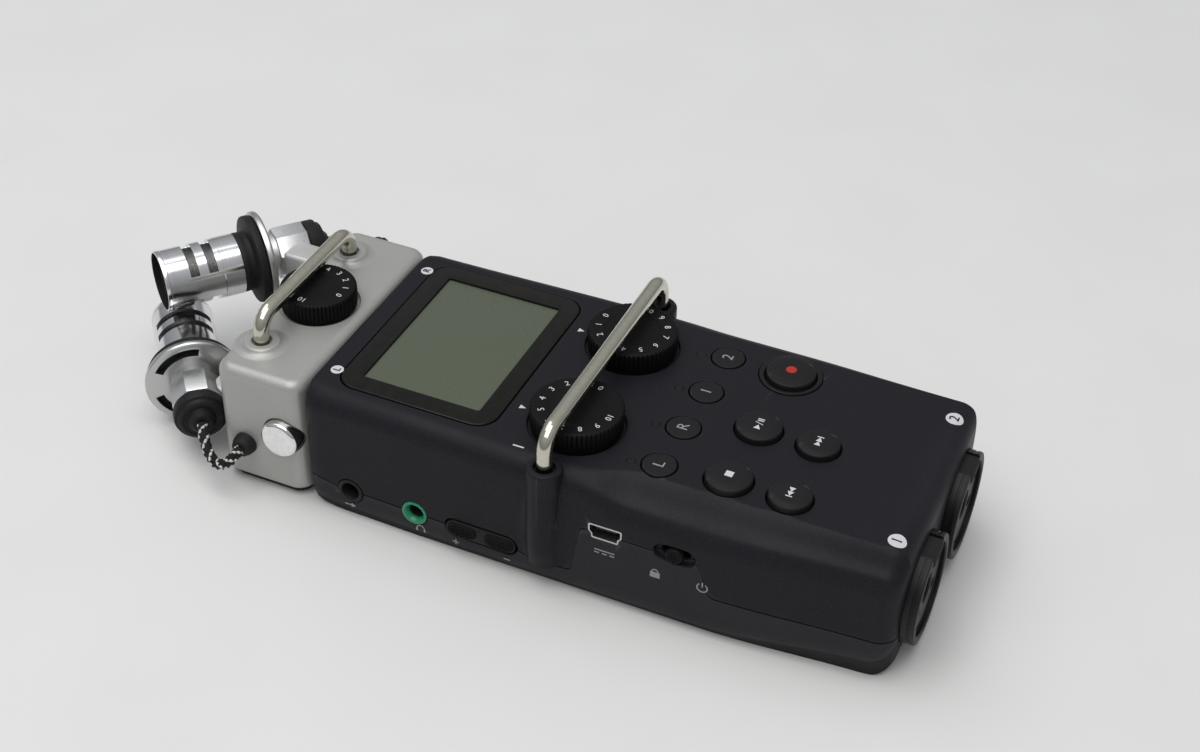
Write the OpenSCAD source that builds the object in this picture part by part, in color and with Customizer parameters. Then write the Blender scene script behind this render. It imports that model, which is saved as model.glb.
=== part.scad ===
// Handheld audio recorder with a plug-on pair of crossed microphones.
// Lengths run along Y from the joint plane between the main unit and the microphone module.
// The input end is towards -Y, the microphones are towards +Y and the top faces +Z.

/* [Case] */
// Length of the main case
case_len = 137; // [134:0.2:142]
// Height of the main case
case_h = 32.8; // [32:0.1:35]
// Case width at the microphone end
mic_end_w = 62; // [61:0.5:66]
// Case width at the guard bar
bar_zone_w = 64.4; // [63:0.2:67]
// Case width at the grip
grip_w = 64.4; // [63:0.2:66]
// Case width at the input end
input_end_w = 59.6; // [58:0.2:62]
// Wall thickness of the case
wall = 2.2; // [1.8:0.1:2.4]
// Radius of the top edge beside the display
shoulder_r = 5; // [4:0.5:6]
// Half width of the flat top at the grip, near side
grip_ridge_near = 23.5; // [22:0.5:25]
// Half width of the flat top at the grip, far side
grip_ridge_far = 27.5; // [27:0.5:28]
// Depth of the sloped shoulder at the grip, near side
grip_drop_near = 9; // [7:0.5:10]
// Depth of the hollow under the ridge at the grip, near side
grip_hollow = 0.8; // [0.4:0.1:1.2]
// Depth of the sloped shoulder at the grip, far side
grip_drop_far = 6; // [5:0.5:8]
// Width of the flat belly that rests on a table
belly_w = 56; // [54:1:58]
// Height of the lower side edge above the belly
side_lift = 1.2; // [1:0.1:2]
// Width of the belly at the input end
tail_belly_w = 46; // [44:1:50]
// Height of the lower side edge above the belly at the input end
tail_side_lift = 5; // [3:0.5:6]
// Rounding of the input end
input_round = 4.5; // [3.5:0.5:5]
// Rounding of the microphone end
joint_round = 1.6; // [1:0.2:2]
// Gap of the seam between the two case halves
seam_gap = 0.2; // [0.1:0.05:0.3]
// Clearance between a button or port and its hole
port_gap = 0.25; // [0.2:0.05:0.35]

/* [Display] */
// Width of the display window
window_w = 50.6; // [48:0.2:52]
// Length of the display window
window_l = 38; // [36:0.5:40]
// Middle of the window, from the joint plane
window_at = 24.6; // [24:0.1:26]
// Thickness of the window
window_t = 1.5; // [1.2:0.1:1.6]
// Width of the display glass
lcd_w = 45.6; // [43:0.2:46]
// Length of the display glass
lcd_l = 32.4; // [30:0.2:33]

/* [Dials and bars] */
// Distance of the dials and guard bar from the joint plane
dial_at = 59.6; // [59:0.1:61]
// Sideways distance of each input dial from the middle
dial_x = 15.1; // [14.5:0.1:15.5]
// Radius of an input dial
dial_r = 10.2; // [9.5:0.1:10.4]
// Height of an input dial above its well
dial_h = 5.5; // [5:0.1:5.7]
// Radius of the dial shafts
shaft_r = 3; // [2.8:0.1:3.2]
// Running clearance of a shaft in its bushing
shaft_gap = 0.05; // [0.03:0.01:0.08]
// Radius of the guard bars
bar_r = 1.8; // [1.6:0.1:2]
// Sideways distance of the guard bar's legs from the middle
bar_x = 31.5; // [31:0.1:32]
// Clearance between the input dials and the bar over them
bar_clear = 1.9; // [1.5:0.1:2.4]
// Bend radius of the guard bars, to the middle of the bar
bar_bend = 4.6; // [4:0.2:6]

/* [Buttons] */
// Distance of the track buttons from the joint plane
track_at = 80.8; // [80:0.2:82]
// Pitch of the track buttons
track_pitch = 13.46; // [13:0.1:13.8]
// Radius of a track button
track_r = 3.7; // [3.4:0.1:3.9]
// Radius of a track lamp
lamp_r = 1; // [0.8:0.1:1.2]
// Distance of the upper transport row from the joint plane
transport_at = 95.6; // [95.2:0.2:96]
// Distance of the lower transport row from the joint plane
seek_at = 109; // [108.6:0.2:109.4]
// Sideways place of the stop and rewind buttons
stop_x = -18.4; // [-18.8:0.1:-18]
// Sideways place of the play and forward buttons
play_x = -0.4; // [-0.8:0.1:0.4]
// Sideways place of the record button
record_x = 20.2; // [19.6:0.1:20.4]
// Radius of the play and stop buttons
play_r = 5.1; // [4.8:0.1:5.3]
// Radius of the rewind and forward buttons
seek_r = 4.7; // [4.4:0.1:4.9]
// Radius of the record button
record_r = 5.6; // [5.3:0.1:5.7]
// Outer radius of the ring of light round the record button
record_ring_r = 7.1; // [6.9:0.1:7.3]
// Travel of every push button
button_travel = 0.8; // [0.6:0.1:0.9]
// Height of the domed buttons above the top
dome_h = 1.7; // [1.4:0.1:2]

/* [Inputs and ports] */
// Sideways distance of each combination jack from the middle
jack_x = 14.2; // [13.8:0.1:14.6]
// Height of the jack centres
jack_z = 16; // [15.6:0.1:16.4]
// Radius of the jack's front ring
jack_r = 12.2; // [11.8:0.1:12.4]
// Height of the front ring beyond the case
jack_proud = 3; // [2:0.2:4]
// Space between the lower transport row and the back of the jacks
jack_room = 4; // [4:0.5:6]
// Radius of the phone plug's hole
plug_r = 3.25; // [3.2:0.01:3.3]
// Height of the ports beside the display
port_z = 8; // [7.6:0.1:8.4]
// Radius of a small jack's nose
port_r = 3.1; // [2.9:0.1:3.4]
// Radius of a small jack's hole
mini_plug_r = 1.8; // [1.76:0.01:1.85]
// Distance of the line jack from the joint plane
line_at = 11.6; // [11:0.2:12]
// Distance of the phones jack from the joint plane
phones_at = 28; // [27.6:0.2:28.4]
// Middle of the volume rocker, from the joint plane
volume_at = 44.6; // [44.2:0.2:45]
// Length of the volume rocker
volume_l = 17; // [16:0.5:18]
// Distance of the data port from the joint plane
usb_at = 74; // [73.5:0.5:75]
// Distance of the power slider from the joint plane
power_at = 89.6; // [89:0.2:90]
// Travel of the power slider each way
power_travel = 1.9; // [1.6:0.1:2.2]

/* [Battery and underside] */
// Radius of a cell
cell_r = 7.2; // [7:0.05:7.25]
// Length of a cell
cell_l = 50.5; // [49:0.5:51]
// Start of the cells, from the joint plane
cell_at = 52.4; // [52:0.2:53]
// Thickness of the battery cover
cover_t = 1.45; // [1.3:0.05:1.5]
// Length of the battery cover
cover_l = 77; // [74:0.5:78]
// Distance of the tripod thread from the joint plane
tripod_at = 36; // [35:0.5:37]
// Radius of the tripod thread's hole
tripod_r = 2.6; // [2.55:0.01:2.65]
// Depth of the tripod thread
tripod_depth = 7; // [6:0.5:8]
// Distance of the speaker from the joint plane
speaker_at = 19.5; // [19:0.5:20]
// Radius of the speaker
speaker_r = 7; // [6:0.5:7.5]

/* [Microphone module] */
// Width of the module housing
module_w = 61; // [60:0.5:63]
// Length of the module housing
module_l = 22.2; // [21.8:0.1:22.6]
// Height of the module's top above the table
module_h = 32.2; // [31.8:0.1:32.8]
// Gap between the module and the main unit
module_gap = 0.3; // [0.2:0.05:0.4]
// Corner radius of the module housing
module_r = 4; // [3:0.5:5]
// Edge radius of the module's top
module_edge = 2.6; // [2:0.2:3]
// Radius of the microphone gain dial
mic_dial_r = 8.9; // [8.6:0.1:9]
// Distance of the gain dial from the joint plane
mic_dial_at = 12.8; // [12.6:0.1:13]
// Clearance between the microphone dial and the bar over it
mic_bar_clear = 0.7; // [0.5:0.1:1.2]
// Sideways distance of the microphone guard bar's legs from the middle
mic_bar_x = 19.6; // [19:0.1:20]
// Distance of the microphone guard bar from the joint plane
mic_bar_at = 16; // [15.6:0.1:16.2]
// Distance of the release buttons from the joint plane
release_at = 5.6; // [5.4:0.1:6]
// Radius of a release button
release_r = 4.6; // [4.2:0.1:4.8]
// Height of the release buttons above the table
release_z = 17.2; // [17:0.1:18]
// Travel of a release button
release_travel = 1.5; // [1.2:0.1:1.6]

/* [Microphones] */
// Angle of each microphone from straight ahead
mic_angle = 50; // [49:0.5:51]
// Point where the two axes cross, from the joint plane
cross_at = 52.6; // [52.2:0.1:53]
// Radius of a microphone tube
tube_r = 7.4; // [7:0.1:7.45]
// Tube wall
tube_wall = 0.9; // [0.7:0.1:1]
// Reach of the tube's front past the crossing point
tube_front = 4.1; // [3.6:0.1:4.6]
// Length of a tube
tube_l = 24.6; // [24:0.1:25]
// Height of the lower microphone's axis
lower_mic_z = 11.7; // [11.7:0.1:12.1]
// Gap between the two tubes where they cross
tube_space = 0.4; // [0.3:0.1:0.6]
// Radius of the metal ring behind each tube
ring_r = 11.3; // [10.8:0.1:11.4]
// Radius of the hub behind the ring
hub_r = 6.4; // [6:0.1:6.6]
// Length of the hub
hub_l = 8.6; // [8:0.1:9]
// Radius of the rear cap
cap_r = 6.2; // [5.8:0.1:6.3]
// Radius of a lead
lead_r = 1.3; // [1.2:0.05:1.4]

/* [Hidden] */
$fn = 64;
eps = 0.01;
seat_gap = 0.02;
far = 90;
face_gap = 0.05;
tab_proud = 0.3;
upper_mic_z = lower_mic_z + 2 * tube_r + tube_space;
mic_reach = cross_at + tube_front * cos(mic_angle) + tube_r * sin(mic_angle);
joint_y = (case_len + jack_proud + tab_proud - mic_reach) / 2;
top_in = case_h - wall;
seam_mic_z = port_z + 0.4;
belly_run = 9;
belly_lift = 1.2;
tail_run = 7;
tail_lift = 0.8;
board_gap = 0.6;
cover_z = 0.25;
cover_top = cover_z + cover_t;
cell_z = cover_top + 0.35 + cell_r;
cell_x = cell_r + 0.3;
cell_cap_r = 2.7;
cell_cap_h = 1.2;
board_z = cell_z + cell_r + board_gap;
board_t = 1.6;
board_top = board_z + board_t;
board_w = 55;
board_at = 4;
board_end_gap = 5;
usb_z = board_top + 1.95;
seam_port_z = usb_z - 0.2;
seam_input_z = 12;
bay_x = cell_x + cell_r + 0.3;
bay_wall = 1.5;
bay_h = board_z - board_gap;
contact_t = 0.5;
contact_room = 0.7;
contact_w = 10;
contact_pad_r = 3;
cover_at = cell_at - 2;
cover_half_w = bay_x - 0.5;
cover_tongue = 1;
cover_lip = 0.75;
speaker_h = 4;
speaker_hole_r = 0.8;
speaker_hole_pitch = 4;
tripod_insert_r = 5;
tripod_boss_r = 7;
tripod_mouth_r = 4;
tripod_floor = 0.3;
screw_x = 22.5;
screw_end_gap = 9;
screw_head_r = 1.9;
screw_head_h = 1.4;
screw_r = 1;
post_r = 3;
well_depth = 1;
well_gap = 0.5;
dial_floor = case_h - well_depth;
dial_lift = 0.3;
dial_skin = 1.6;
bar_top = dial_floor + dial_lift + dial_h + bar_clear + 2 * bar_r;
bushing_r = 4.4;
pot_w = 12;
pot_h = 6;
pot_floor = 1;
shaft_lift = 1.4;
bar_boss_r = bar_r + 2.1;
bar_boss_rise = 0.6;
bar_boss_edge = 1;
bar_boss_z = 4;
bar_seat = 9;
through_z = top_in - 1;
window_r = 5;
lcd_r = 1;
lcd_depth = 3;
lcd_gap = 0.05;
flex_w = 16;
flex_t = 0.6;
lamp_side = 1.2;
lamp_ahead = 5.9;
ring_seat = 1.2;
ring_proud = 0.3;
switch_h = 3;
switch_w = 6;
button_flange = 0.6;
flange_drop = 0.6;
flange_h = 1.2;
stem_r = 1.6;
stem_end = board_top + switch_h + button_travel + 0.3;
seek_lean = 3.4;
dome_crown = 0.8;
track_proud = 0.25;
side_depth = 6;
rocker_w = 4.2;
rocker_gap = 0.6;
rocker_t = 4;
rocker_proud = 0.3;
pivot_r = 0.8;
pivot_lap = 1;
pivot_in = wall + rocker_gap / 2 + pivot_r;
pad_l = 7;
pad_w = 3.8;
pad_t = 1.2;
scroll_r = 4;
scroll_h = 4;
scroll_in = 2.6;
scroll_gap = 0.3;
menu_r = 2.6;
menu_l = 5;
menu_flange = 1;
menu_proud = 0.9;
usb_w = 7.7;
usb_h = 3.86;
usb_l = 9;
usb_wall = 0.4;
thumb_l = 4;
thumb_w = 3.6;
thumb_t = 1.7;
thumb_in = 0.9;
thumb_gap = 0.4;
recess_depth = 1.2;
thumb_stem_l = 2.4;
thumb_stem_w = 1.8;
thumb_stem_gap = 0.3;
power_switch_l = 10;
power_switch_w = 4.5;
power_switch_h = 3.6;
power_switch_in = 1.4;
mini_proud = 0.2;
mini_depth = 12;
mini_nose = 5;
mini_body_w = 6.8;
mini_body_h = 7.2;
mini_body_l = 10;
jack_front = case_len + jack_proud;
jack_back = seek_at + jack_room;
jack_depth = case_len - jack_back;
jack_barrel_r = jack_r - 0.4;
board_l = jack_back - board_end_gap - board_at;
screw_at = [20, jack_back - screw_end_gap];
jack_bore_gap = 0.1;
jack_rim = 1.9;
jack_rim_depth = 1;
shell_groove_out = jack_r - 2.1;
shell_groove_in = jack_r - 3.5;
shell_groove_l = jack_depth / 2;
pin_ring = jack_r / 2;
pin_hole_r = 1.5;
pin_r = 0.7;
pin_l = 5;
tab_gap = 0.25;
tab_drop = 0.9;
tab_ribs = 3;
tab_rib_pitch = 1.1;
tab_w = 7.4;
tab_h = 2.4;
tab_l = 4.6;
tab_travel = 1.5;
socket_w = 24;
socket_h = 8;
socket_z = 8.4;
socket_l = 8;
socket_gap = 0.15;
plug_w = 19.6;
plug_h = 3.6;
plug_l = 5.4;
module_floor = 2.4;
module_back = module_gap;
module_front = module_back + module_l;
module_top_in = module_h - wall;
mic_well_floor = module_h - well_depth;
mic_bar_top = mic_well_floor + dial_lift + dial_h + mic_bar_clear + 2 * bar_r;
mic_boss_r = bar_r + 1.7;
mic_boss_h = 1.4;
mic_bar_seat = 3;
mic_pot_w = 11;
module_inner_w = module_w - 2 * wall - 1;
module_inner_l = module_l - 2 * wall;
module_foot_h = 1.9;
module_foot_in = 1.5;
module_foot_r = 3;
module_board_z = 19.6;
module_board_t = 1.4;
module_board_gap = 4.8;
mic_shaft_z = module_board_z + module_board_t + shaft_lift;
module_post_x = module_w / 2 - 10.5;
module_post_y = 5;
module_post_r = 2;
plug_gap = 0.4;
plug_foot_w = 2;
plug_foot_l = 3;
release_edge = 0.5;
release_proud = release_travel + release_edge;
release_taper = 0.7;
release_l = 6.5;
release_flange = 0.9;
release_flange_gap = 0.9;
release_ear_w = 4;
release_room = 8;
arm_x = 17.5;
arm_w = 7;
arm_l = 9;
arm_h = 9;
collar_r = 9.1;
collar_l = 4;
disc_r = 10.7;
disc_t = 1.6;
ring_t = 1.8;
tube_back = tube_front - tube_l;
tube_mouth = 1;
tube_lip = 1.6;
vent_w = 2.2;
vent_at = 4.4;
vent_pitch = 4.6;
vent_angle = 110;
ring_slot_w = 1.3;
ring_slot_in = 1.6;
ring_slot_angle = 70;
collar_chamfer = 0.6;
cap_neck = 3;
cap_round = 0.8;
disc_back = tube_back - disc_t;
ring_back = disc_back - ring_t;
hub_back = ring_back - hub_l;
cap_back = -38;
cap_tip_r = 5.4;
grommet_x = 33.4;
grommet_tip_r = 2;
grommet_base_r = 2.8;
grommet_neck_r = 1.9;
// Middle line of the left lead after the cap: sideways, from the joint plane, above the microphone's axis
lead_route = [[-32, 26, -0.8], [-34.6, 23.2, -2.6], [-36.2, 20, -3.4], [-36.2, 17.2, -2], [-34.8, 15.7, -0.2],
              [-33.4, 15.5, 0.3]];
card_l = 27;
card_h = 5;
card_t = 1.4;
card_z = board_top + 1.7;
card_hinge_r = card_t / 2 - face_gap;
card_lap = 0.15;
card_pin_r = 0.4;
card_pin_l = 1;
card_gap = 0.3;
card_in = 0.4;
card_socket = 24;
card_socket_h = 3.2;
card_socket_wall = 1;
card_slot_floor = 0.5;
chip_w = 9;
chip_t = 1.2;
chip_x = [-18, -6];
lead_end = lead_route[len(lead_route) - 1];
grommet_at = lead_end[1];
grommet_rise = lead_end[2];

// Places a child at a sideways place, a distance from the joint plane (towards the microphones) and a height
module at(x, v, z) translate([x, v + joint_y, z]) children();

// Turns a child's +Z to point out of the near (-1) or far (+1) side
module out_side(side) rotate([0, side * 90, 0]) children();

function blend(a, b, t) = a + (b - a) * t * t * (3 - 2 * t);
function share(v, from, to) = min(1, max(0, (v - from) / (to - from)));

// Half width of the case at a distance d from the joint plane
function half_w(d) =
    d < dial_at ? blend(mic_end_w, bar_zone_w, share(d, 0, dial_at)) / 2
    : d < transport_at ? blend(bar_zone_w, grip_w, share(d, dial_at, transport_at)) / 2
    : blend(grip_w, input_end_w, share(d, transport_at, case_len)) / 2;

// How far the case has changed from its display form to its grip form
function grip_share(d) = blend(0, 1, share(d, dial_at + 5, track_at));

// How far the ends draw in, as quarter rounds
function round_in(r, d) = d >= r ? 0 : r - sqrt(r * r - (r - d) * (r - d));
function end_in(d) = round_in(joint_round, d) + round_in(input_round, case_len - d);

// How far the belly rises towards the two ends
function belly_rise(d) =
    blend(belly_lift, 0, share(d, 0, belly_run))
    + blend(0, tail_lift, share(d, case_len - tail_run, case_len));

// One side of the case outline from the flat top to the belly, as [x, z].
// At the grip the shoulder starts at a ridge with a slope of crease degrees, with a hollow under it.
function half_section(d, e, ridge, grip_drop, crease, hollow, steps) =
    let (g = grip_share(d),
         hw = half_w(d) - e,
         top = case_h - e,
         rx = min(blend(half_w(d) - shoulder_r, ridge, g), hw - 1),
         drop = blend(shoulder_r, grip_drop, g) - e / 2,
         a0 = crease * g,
         low = belly_rise(d) + e,
         tail = share(d, transport_at, case_len),
         lift = blend(side_lift, tail_side_lift, tail))
    concat(
        [[rx, top]],
        [for (i = [1:steps])
            let (a = a0 + (90 - a0) * i / steps)
            [rx + (hw - rx) * (sin(a) - sin(a0)) / (1 - sin(a0)),
             top - drop * (cos(a0) - cos(a)) / cos(a0)
                 - hollow * g * pow(sin(min(180, 300 * i / steps)), 2)]],
        [[hw - 0.3, low + lift + 1], [hw - 1.2, low + lift],
         [blend(belly_w, tail_belly_w, tail) / 2 - e, low]]);

function mirrored(points) = [for (i = [len(points) - 1:-1:0]) [-points[i][0], points[i][1]]];

function section(d, e, hollow, steps) =
    let (right = half_section(d, e, grip_ridge_far, grip_drop_far, 12, 0, steps),
         left = mirrored(half_section(d, e, grip_ridge_near, grip_drop_near, 38, hollow, steps)))
    [for (p = concat(right, left)) [p[0], -d, p[1]]];

// Skin over a row of outlines that all have the same number of points
module skin(rings) {
    m = len(rings[0]);
    k = len(rings);
    sides = [for (j = [0:k - 2], i = [0:m - 1], half = [0, 1])
        let (n = (i + 1) % m, a = j * m, b = a + m)
        half == 0 ? [a + i, a + n, b + n] : [a + i, b + n, b + i]];
    ends = [[for (i = [m - 1:-1:0]) i], [for (i = [0:m - 1]) (k - 1) * m + i]];
    polyhedron(points = [for (ring = rings, p = ring) p], faces = concat(sides, ends));
}

module case_solid() {
    stops = concat(
        [for (a = [0, 30, 60]) joint_round * (1 - cos(a))],
        [for (i = [0:15]) joint_round + (case_len - joint_round - input_round) * i / 15],
        [for (a = [60, 30, 0]) case_len - input_round * (1 - cos(a))]);
    skin([for (d = stops) section(d, end_in(d), grip_hollow, 5)]);
}

module case_hollow() {
    stops = concat([wall, belly_run], [for (i = [1:8]) wall + (case_len - 2 * wall) * i / 8]);
    skin([for (d = stops) section(d, wall + (d > case_len - wall - 1 ? 1 : 0), 0, 3)]);
}

module seam_side(shift, limit) {
    line = [[2, seam_mic_z + 1], [-4, seam_mic_z + 1], [-8, seam_mic_z], [-66, seam_mic_z],
            [-68, seam_port_z], [-95, seam_port_z], [-98, seam_input_z], [-case_len - 2, seam_input_z]];
    shifted = [for (p = line) [p[0], p[1] + shift]];
    rotate([90, 0, 90])
        linear_extrude(height = far, center = true)
            polygon(concat(shifted, [[-case_len - 2, limit], [2, limit]]));
}

module rounded_rect(w, l, r) {
    square([w - 2 * r, l], center = true);
    square([w, l - 2 * r], center = true);
    for (x = [-1, 1], y = [-1, 1]) translate([x * (w / 2 - r), y * (l / 2 - r)]) circle(r = r);
}

module slot_2d(l, w) {
    square([l - w, w], center = true);
    for (s = [-1, 1]) translate([s * (l - w) / 2, 0]) circle(d = w);
}

// Slot through a side wall, long way along Y
module side_slot(side, d, z, l, w, depth) {
    at(side * (half_w(d) + 2), -d, z)
        out_side(-side)
            linear_extrude(height = depth + 2)
                rotate(90)
                    slot_2d(l, w);
}

module side_hole(side, d, z, r, depth) {
    at(side * (half_w(d) + 2), -d, z)
        out_side(-side)
            cylinder(r = r, h = depth + 2);
}

function track_x(i) = (i - 1.5) * track_pitch;

// All the holes in the top face
module top_cuts() {
    at(0, -window_at, case_h - window_t)
        linear_extrude(height = far)
            rounded_rect(window_w + 2 * face_gap, window_l + 2 * face_gap, window_r);
    at(0, -window_at, through_z)
        linear_extrude(height = far)
            rounded_rect(lcd_w + 2 * port_gap, lcd_l + 2 * port_gap, lcd_r);
    for (s = [-1, 1]) {
        at(s * dial_x, -dial_at, dial_floor) cylinder(r = dial_r + well_gap, h = far);
        at(s * dial_x, -dial_at, through_z) cylinder(r = bushing_r + face_gap, h = far);
        at(s * bar_x, -dial_at, case_h - wall - bar_seat) cylinder(r = bar_r + face_gap, h = far);
    }
    for (i = [0:3]) {
        at(track_x(i), -track_at, through_z) cylinder(r = track_r + port_gap, h = far);
        at(track_x(i) - lamp_side, lamp_ahead - track_at, through_z) cylinder(r = lamp_r + face_gap, h = far);
    }
    for (x = [stop_x, play_x]) {
        at(x, -transport_at, through_z) cylinder(r = play_r + port_gap, h = far);
        at(x, -seek_at, through_z) cylinder(r = seek_r + port_gap, h = far);
    }
    at(record_x, -transport_at, through_z) cylinder(r = record_r + port_gap, h = far);
    at(record_x, -transport_at, case_h - ring_seat) cylinder(r = record_ring_r + face_gap, h = far);
}

// All the holes in the sides and ends
module side_cuts() {
    side_hole(-1, line_at, port_z, port_r + port_gap, side_depth);
    side_hole(-1, phones_at, port_z, port_r + port_gap, side_depth);
    side_hole(1, line_at, port_z, port_r + port_gap, side_depth);
    side_slot(-1, volume_at, port_z, volume_l + 2 * rocker_gap, rocker_w + 2 * rocker_gap, side_depth);
    at(half_w(volume_at), -volume_at, port_z)
        cube([2 * side_depth, 2 * scroll_r + 2 * rocker_gap, scroll_h + 2 * scroll_gap], center = true);
    side_hole(1, phones_at, port_z, menu_r + port_gap, side_depth);
    at(-half_w(usb_at), -usb_at, usb_z)
        cube([3 * side_depth, usb_w + 2 * face_gap, usb_h + 4 * face_gap], center = true);
    side_slot(-1, power_at, usb_z, thumb_l + 2 * power_travel + 4 * thumb_gap,
              thumb_w + 2 * thumb_gap, recess_depth);
    side_slot(-1, power_at, usb_z, thumb_stem_l + 2 * power_travel + 2 * thumb_stem_gap,
              thumb_stem_w + 2 * thumb_stem_gap, side_depth);
    at(half_w(window_at), -window_at, card_z)
        cube([2 * side_depth, card_l + 2 * card_gap, card_h + 2 * card_gap], center = true);
    card_axis()
        cylinder(r = card_pin_r + shaft_gap, h = card_l + 2 * card_pin_l + 2 * port_gap, center = true);
    at(0, -wall / 2, socket_z + socket_h / 2)
        cube([socket_w + 2 * socket_gap, 3 * wall, socket_h + 2 * socket_gap], center = true);
    for (s = [-1, 1])
        at(s * jack_x, -jack_back, jack_z) rotate([90, 0, 0]) cylinder(r = jack_r + jack_bore_gap, h = far);
}

// Post round a leg of the guard bar, with a chamfered top
module bar_boss(h) {
    cylinder(r = bar_boss_r, h = h - bar_boss_edge);
    translate([0, 0, h - bar_boss_edge])
        cylinder(r1 = bar_boss_r, r2 = bar_boss_r - bar_boss_edge, h = bar_boss_edge);
}

module upper_case() color("#3a3a42") difference() {
    intersection() {
        at(0, 0, 0) union() {
            difference() {
                case_solid();
                case_hollow();
            }
            for (s = [-1, 1])
                translate([s * bar_x, -dial_at, bar_boss_z])
                    bar_boss(case_h + bar_boss_rise - bar_boss_z);
        }
        at(0, 0, 0) seam_side(0, far);
    }
    top_cuts();
    side_cuts();
}

module lower_case() color("#43434a") {
    difference() {
        union() {
            intersection() {
                at(0, 0, 0) difference() {
                    case_solid();
                    case_hollow();
                }
                at(0, 0, 0) seam_side(-seam_gap, -far);
            }
            battery_bay();
            for (d = screw_at, s = [-1, 1])
                at(s * screw_x, -d, wall - eps) cylinder(r = post_r, h = board_z - wall + eps);
            at(0, -tripod_at, wall - eps) cylinder(r = tripod_boss_r, h = tripod_depth + 1);
        }
        side_cuts();
        cover_channel();
        at(0, -tripod_at, tripod_floor) cylinder(r = tripod_insert_r + face_gap, h = far);
        for (d = screw_at, s = [-1, 1]) {
            at(s * screw_x, -d, -1) cylinder(r = screw_head_r + face_gap, h = 1 + 0.3 + screw_head_h);
            at(s * screw_x, -d, -1) cylinder(r = screw_r + face_gap, h = board_z - 2);
        }
        for (x = [-1:1], y = [-1:1])
            at(x * speaker_hole_pitch, y * speaker_hole_pitch - speaker_at, -1)
                cylinder(r = speaker_hole_r, h = wall + 2);
        at(0, -tripod_at, -1) cylinder(r = tripod_mouth_r, h = 3);
    }
}

module battery_bay() {
    bay_l = cell_l + 2 * (contact_t + contact_room);
    start = cell_at - contact_t - contact_room;
    z0 = cover_top + 0.3;
    for (s = [-1, 1])
        at(s * (bay_x + bay_wall / 2), -start - bay_l / 2, (z0 + bay_h) / 2)
            cube([bay_wall, bay_l + 2 * bay_wall, bay_h - z0], center = true);
    for (d = [start - bay_wall / 2, start + bay_l + bay_wall / 2])
        at(0, -d, (z0 + bay_h) / 2) cube([2 * bay_x + eps, bay_wall, bay_h - z0], center = true);
}

// Run of the sliding cover, open at the input end
module cover_channel() {
    run = case_len - cover_at + 5;
    at(-cover_half_w - 0.3, -cover_at - run + 0.3, -2)
        cube([2 * cover_half_w + 0.6, run, 2 + wall + 0.2]);
    at(-cover_half_w - cover_tongue - 0.3, -cover_at - run + 0.3, cover_lip)
        cube([2 * (cover_half_w + cover_tongue + 0.3), run, cover_top + 0.25 - cover_lip]);
}

module battery_cover() color("#3c3c42") {
    at(-cover_half_w, -cover_at - cover_l, cover_z) cube([2 * cover_half_w, cover_l, cover_t]);
    at(-cover_half_w - cover_tongue, -cover_at - cover_l, cover_lip + 0.2)
        cube([2 * (cover_half_w + cover_tongue), cover_l, cover_top - cover_lip - 0.2]);
}

// Bent bar with two legs and two quarter bends
module bent_bar(half_span, top, foot) {
    axis_z = top - bar_r;
    for (s = [-1, 1]) {
        translate([s * half_span, 0, foot]) cylinder(r = bar_r, h = axis_z - bar_bend - foot);
        translate([s * (half_span - bar_bend), 0, axis_z - bar_bend])
            rotate([90, 0, s > 0 ? 0 : 180])
                rotate_extrude(angle = 90) translate([bar_bend, 0]) circle(r = bar_r);
    }
    translate([bar_bend - half_span, 0, axis_z])
        rotate([0, 90, 0]) cylinder(r = bar_r, h = 2 * (half_span - bar_bend));
}

module guard_bar() color("#c8c4bc")
    at(0, -dial_at, 0) bent_bar(bar_x, bar_top, case_h - wall - bar_seat + seat_gap);

module display_window() color("#1c1a1a")
    at(0, -window_at, case_h - window_t + 0.02)
        linear_extrude(height = window_t + 0.15) rounded_rect(window_w, window_l, window_r);

module lcd_module() color("#5f6955") {
    at(0, -window_at, top_in - lcd_depth)
        linear_extrude(height = lcd_depth + wall - window_t - lcd_gap) rounded_rect(lcd_w, lcd_l, lcd_r);
    at(-flex_w / 2, -window_at - lcd_l / 2, board_top + seat_gap)
        cube([flex_w, flex_t, top_in - lcd_depth + lcd_gap - board_top]);
}

module record_ring() color("#8c8c90")
    at(record_x, -transport_at, case_h - ring_seat + 0.02)
        difference() {
            cylinder(r = record_ring_r, h = ring_seat + ring_proud);
            translate([0, 0, -1]) cylinder(r = record_r + port_gap, h = 9);
        }

module track_lamps() color("#702020")
    for (i = [0:3])
        at(track_x(i) - lamp_side, lamp_ahead - track_at, top_in) cylinder(r = lamp_r, h = wall + 0.1);

// Combination jack: front ring, plug hole, three contact holes and the ring groove for a plug shell
module combo_jack(x) color("#1d1d1f") at(x, -jack_front, jack_z) rotate([-90, 0, 0]) difference() {
    union() {
        cylinder(r = jack_r, h = jack_proud - jack_bore_gap);
        cylinder(r = jack_barrel_r, h = jack_proud + jack_depth);
    }
    translate([0, 0, -eps]) cylinder(r = jack_r - jack_rim, h = jack_rim_depth);
    translate([0, 0, -1]) cylinder(r = plug_r, h = far);
    translate([0, 0, -1]) difference() {
        cylinder(r = shell_groove_out, h = shell_groove_l + 1);
        translate([0, 0, -1]) cylinder(r = shell_groove_in, h = far);
    }
    for (a = [-60, 60, 180])
        rotate(a) translate([0, pin_ring, -1]) cylinder(r = pin_hole_r, h = shell_groove_l);
    translate([-tab_w / 2 - tab_gap, -far - jack_r + tab_drop + tab_h + tab_gap, -tab_l])
        cube([tab_w + 2 * tab_gap, far, 2 * tab_l + tab_travel + 2 * tab_gap]);
}

module combo_jack_1() combo_jack(-jack_x);
module combo_jack_2() combo_jack(jack_x);

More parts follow.
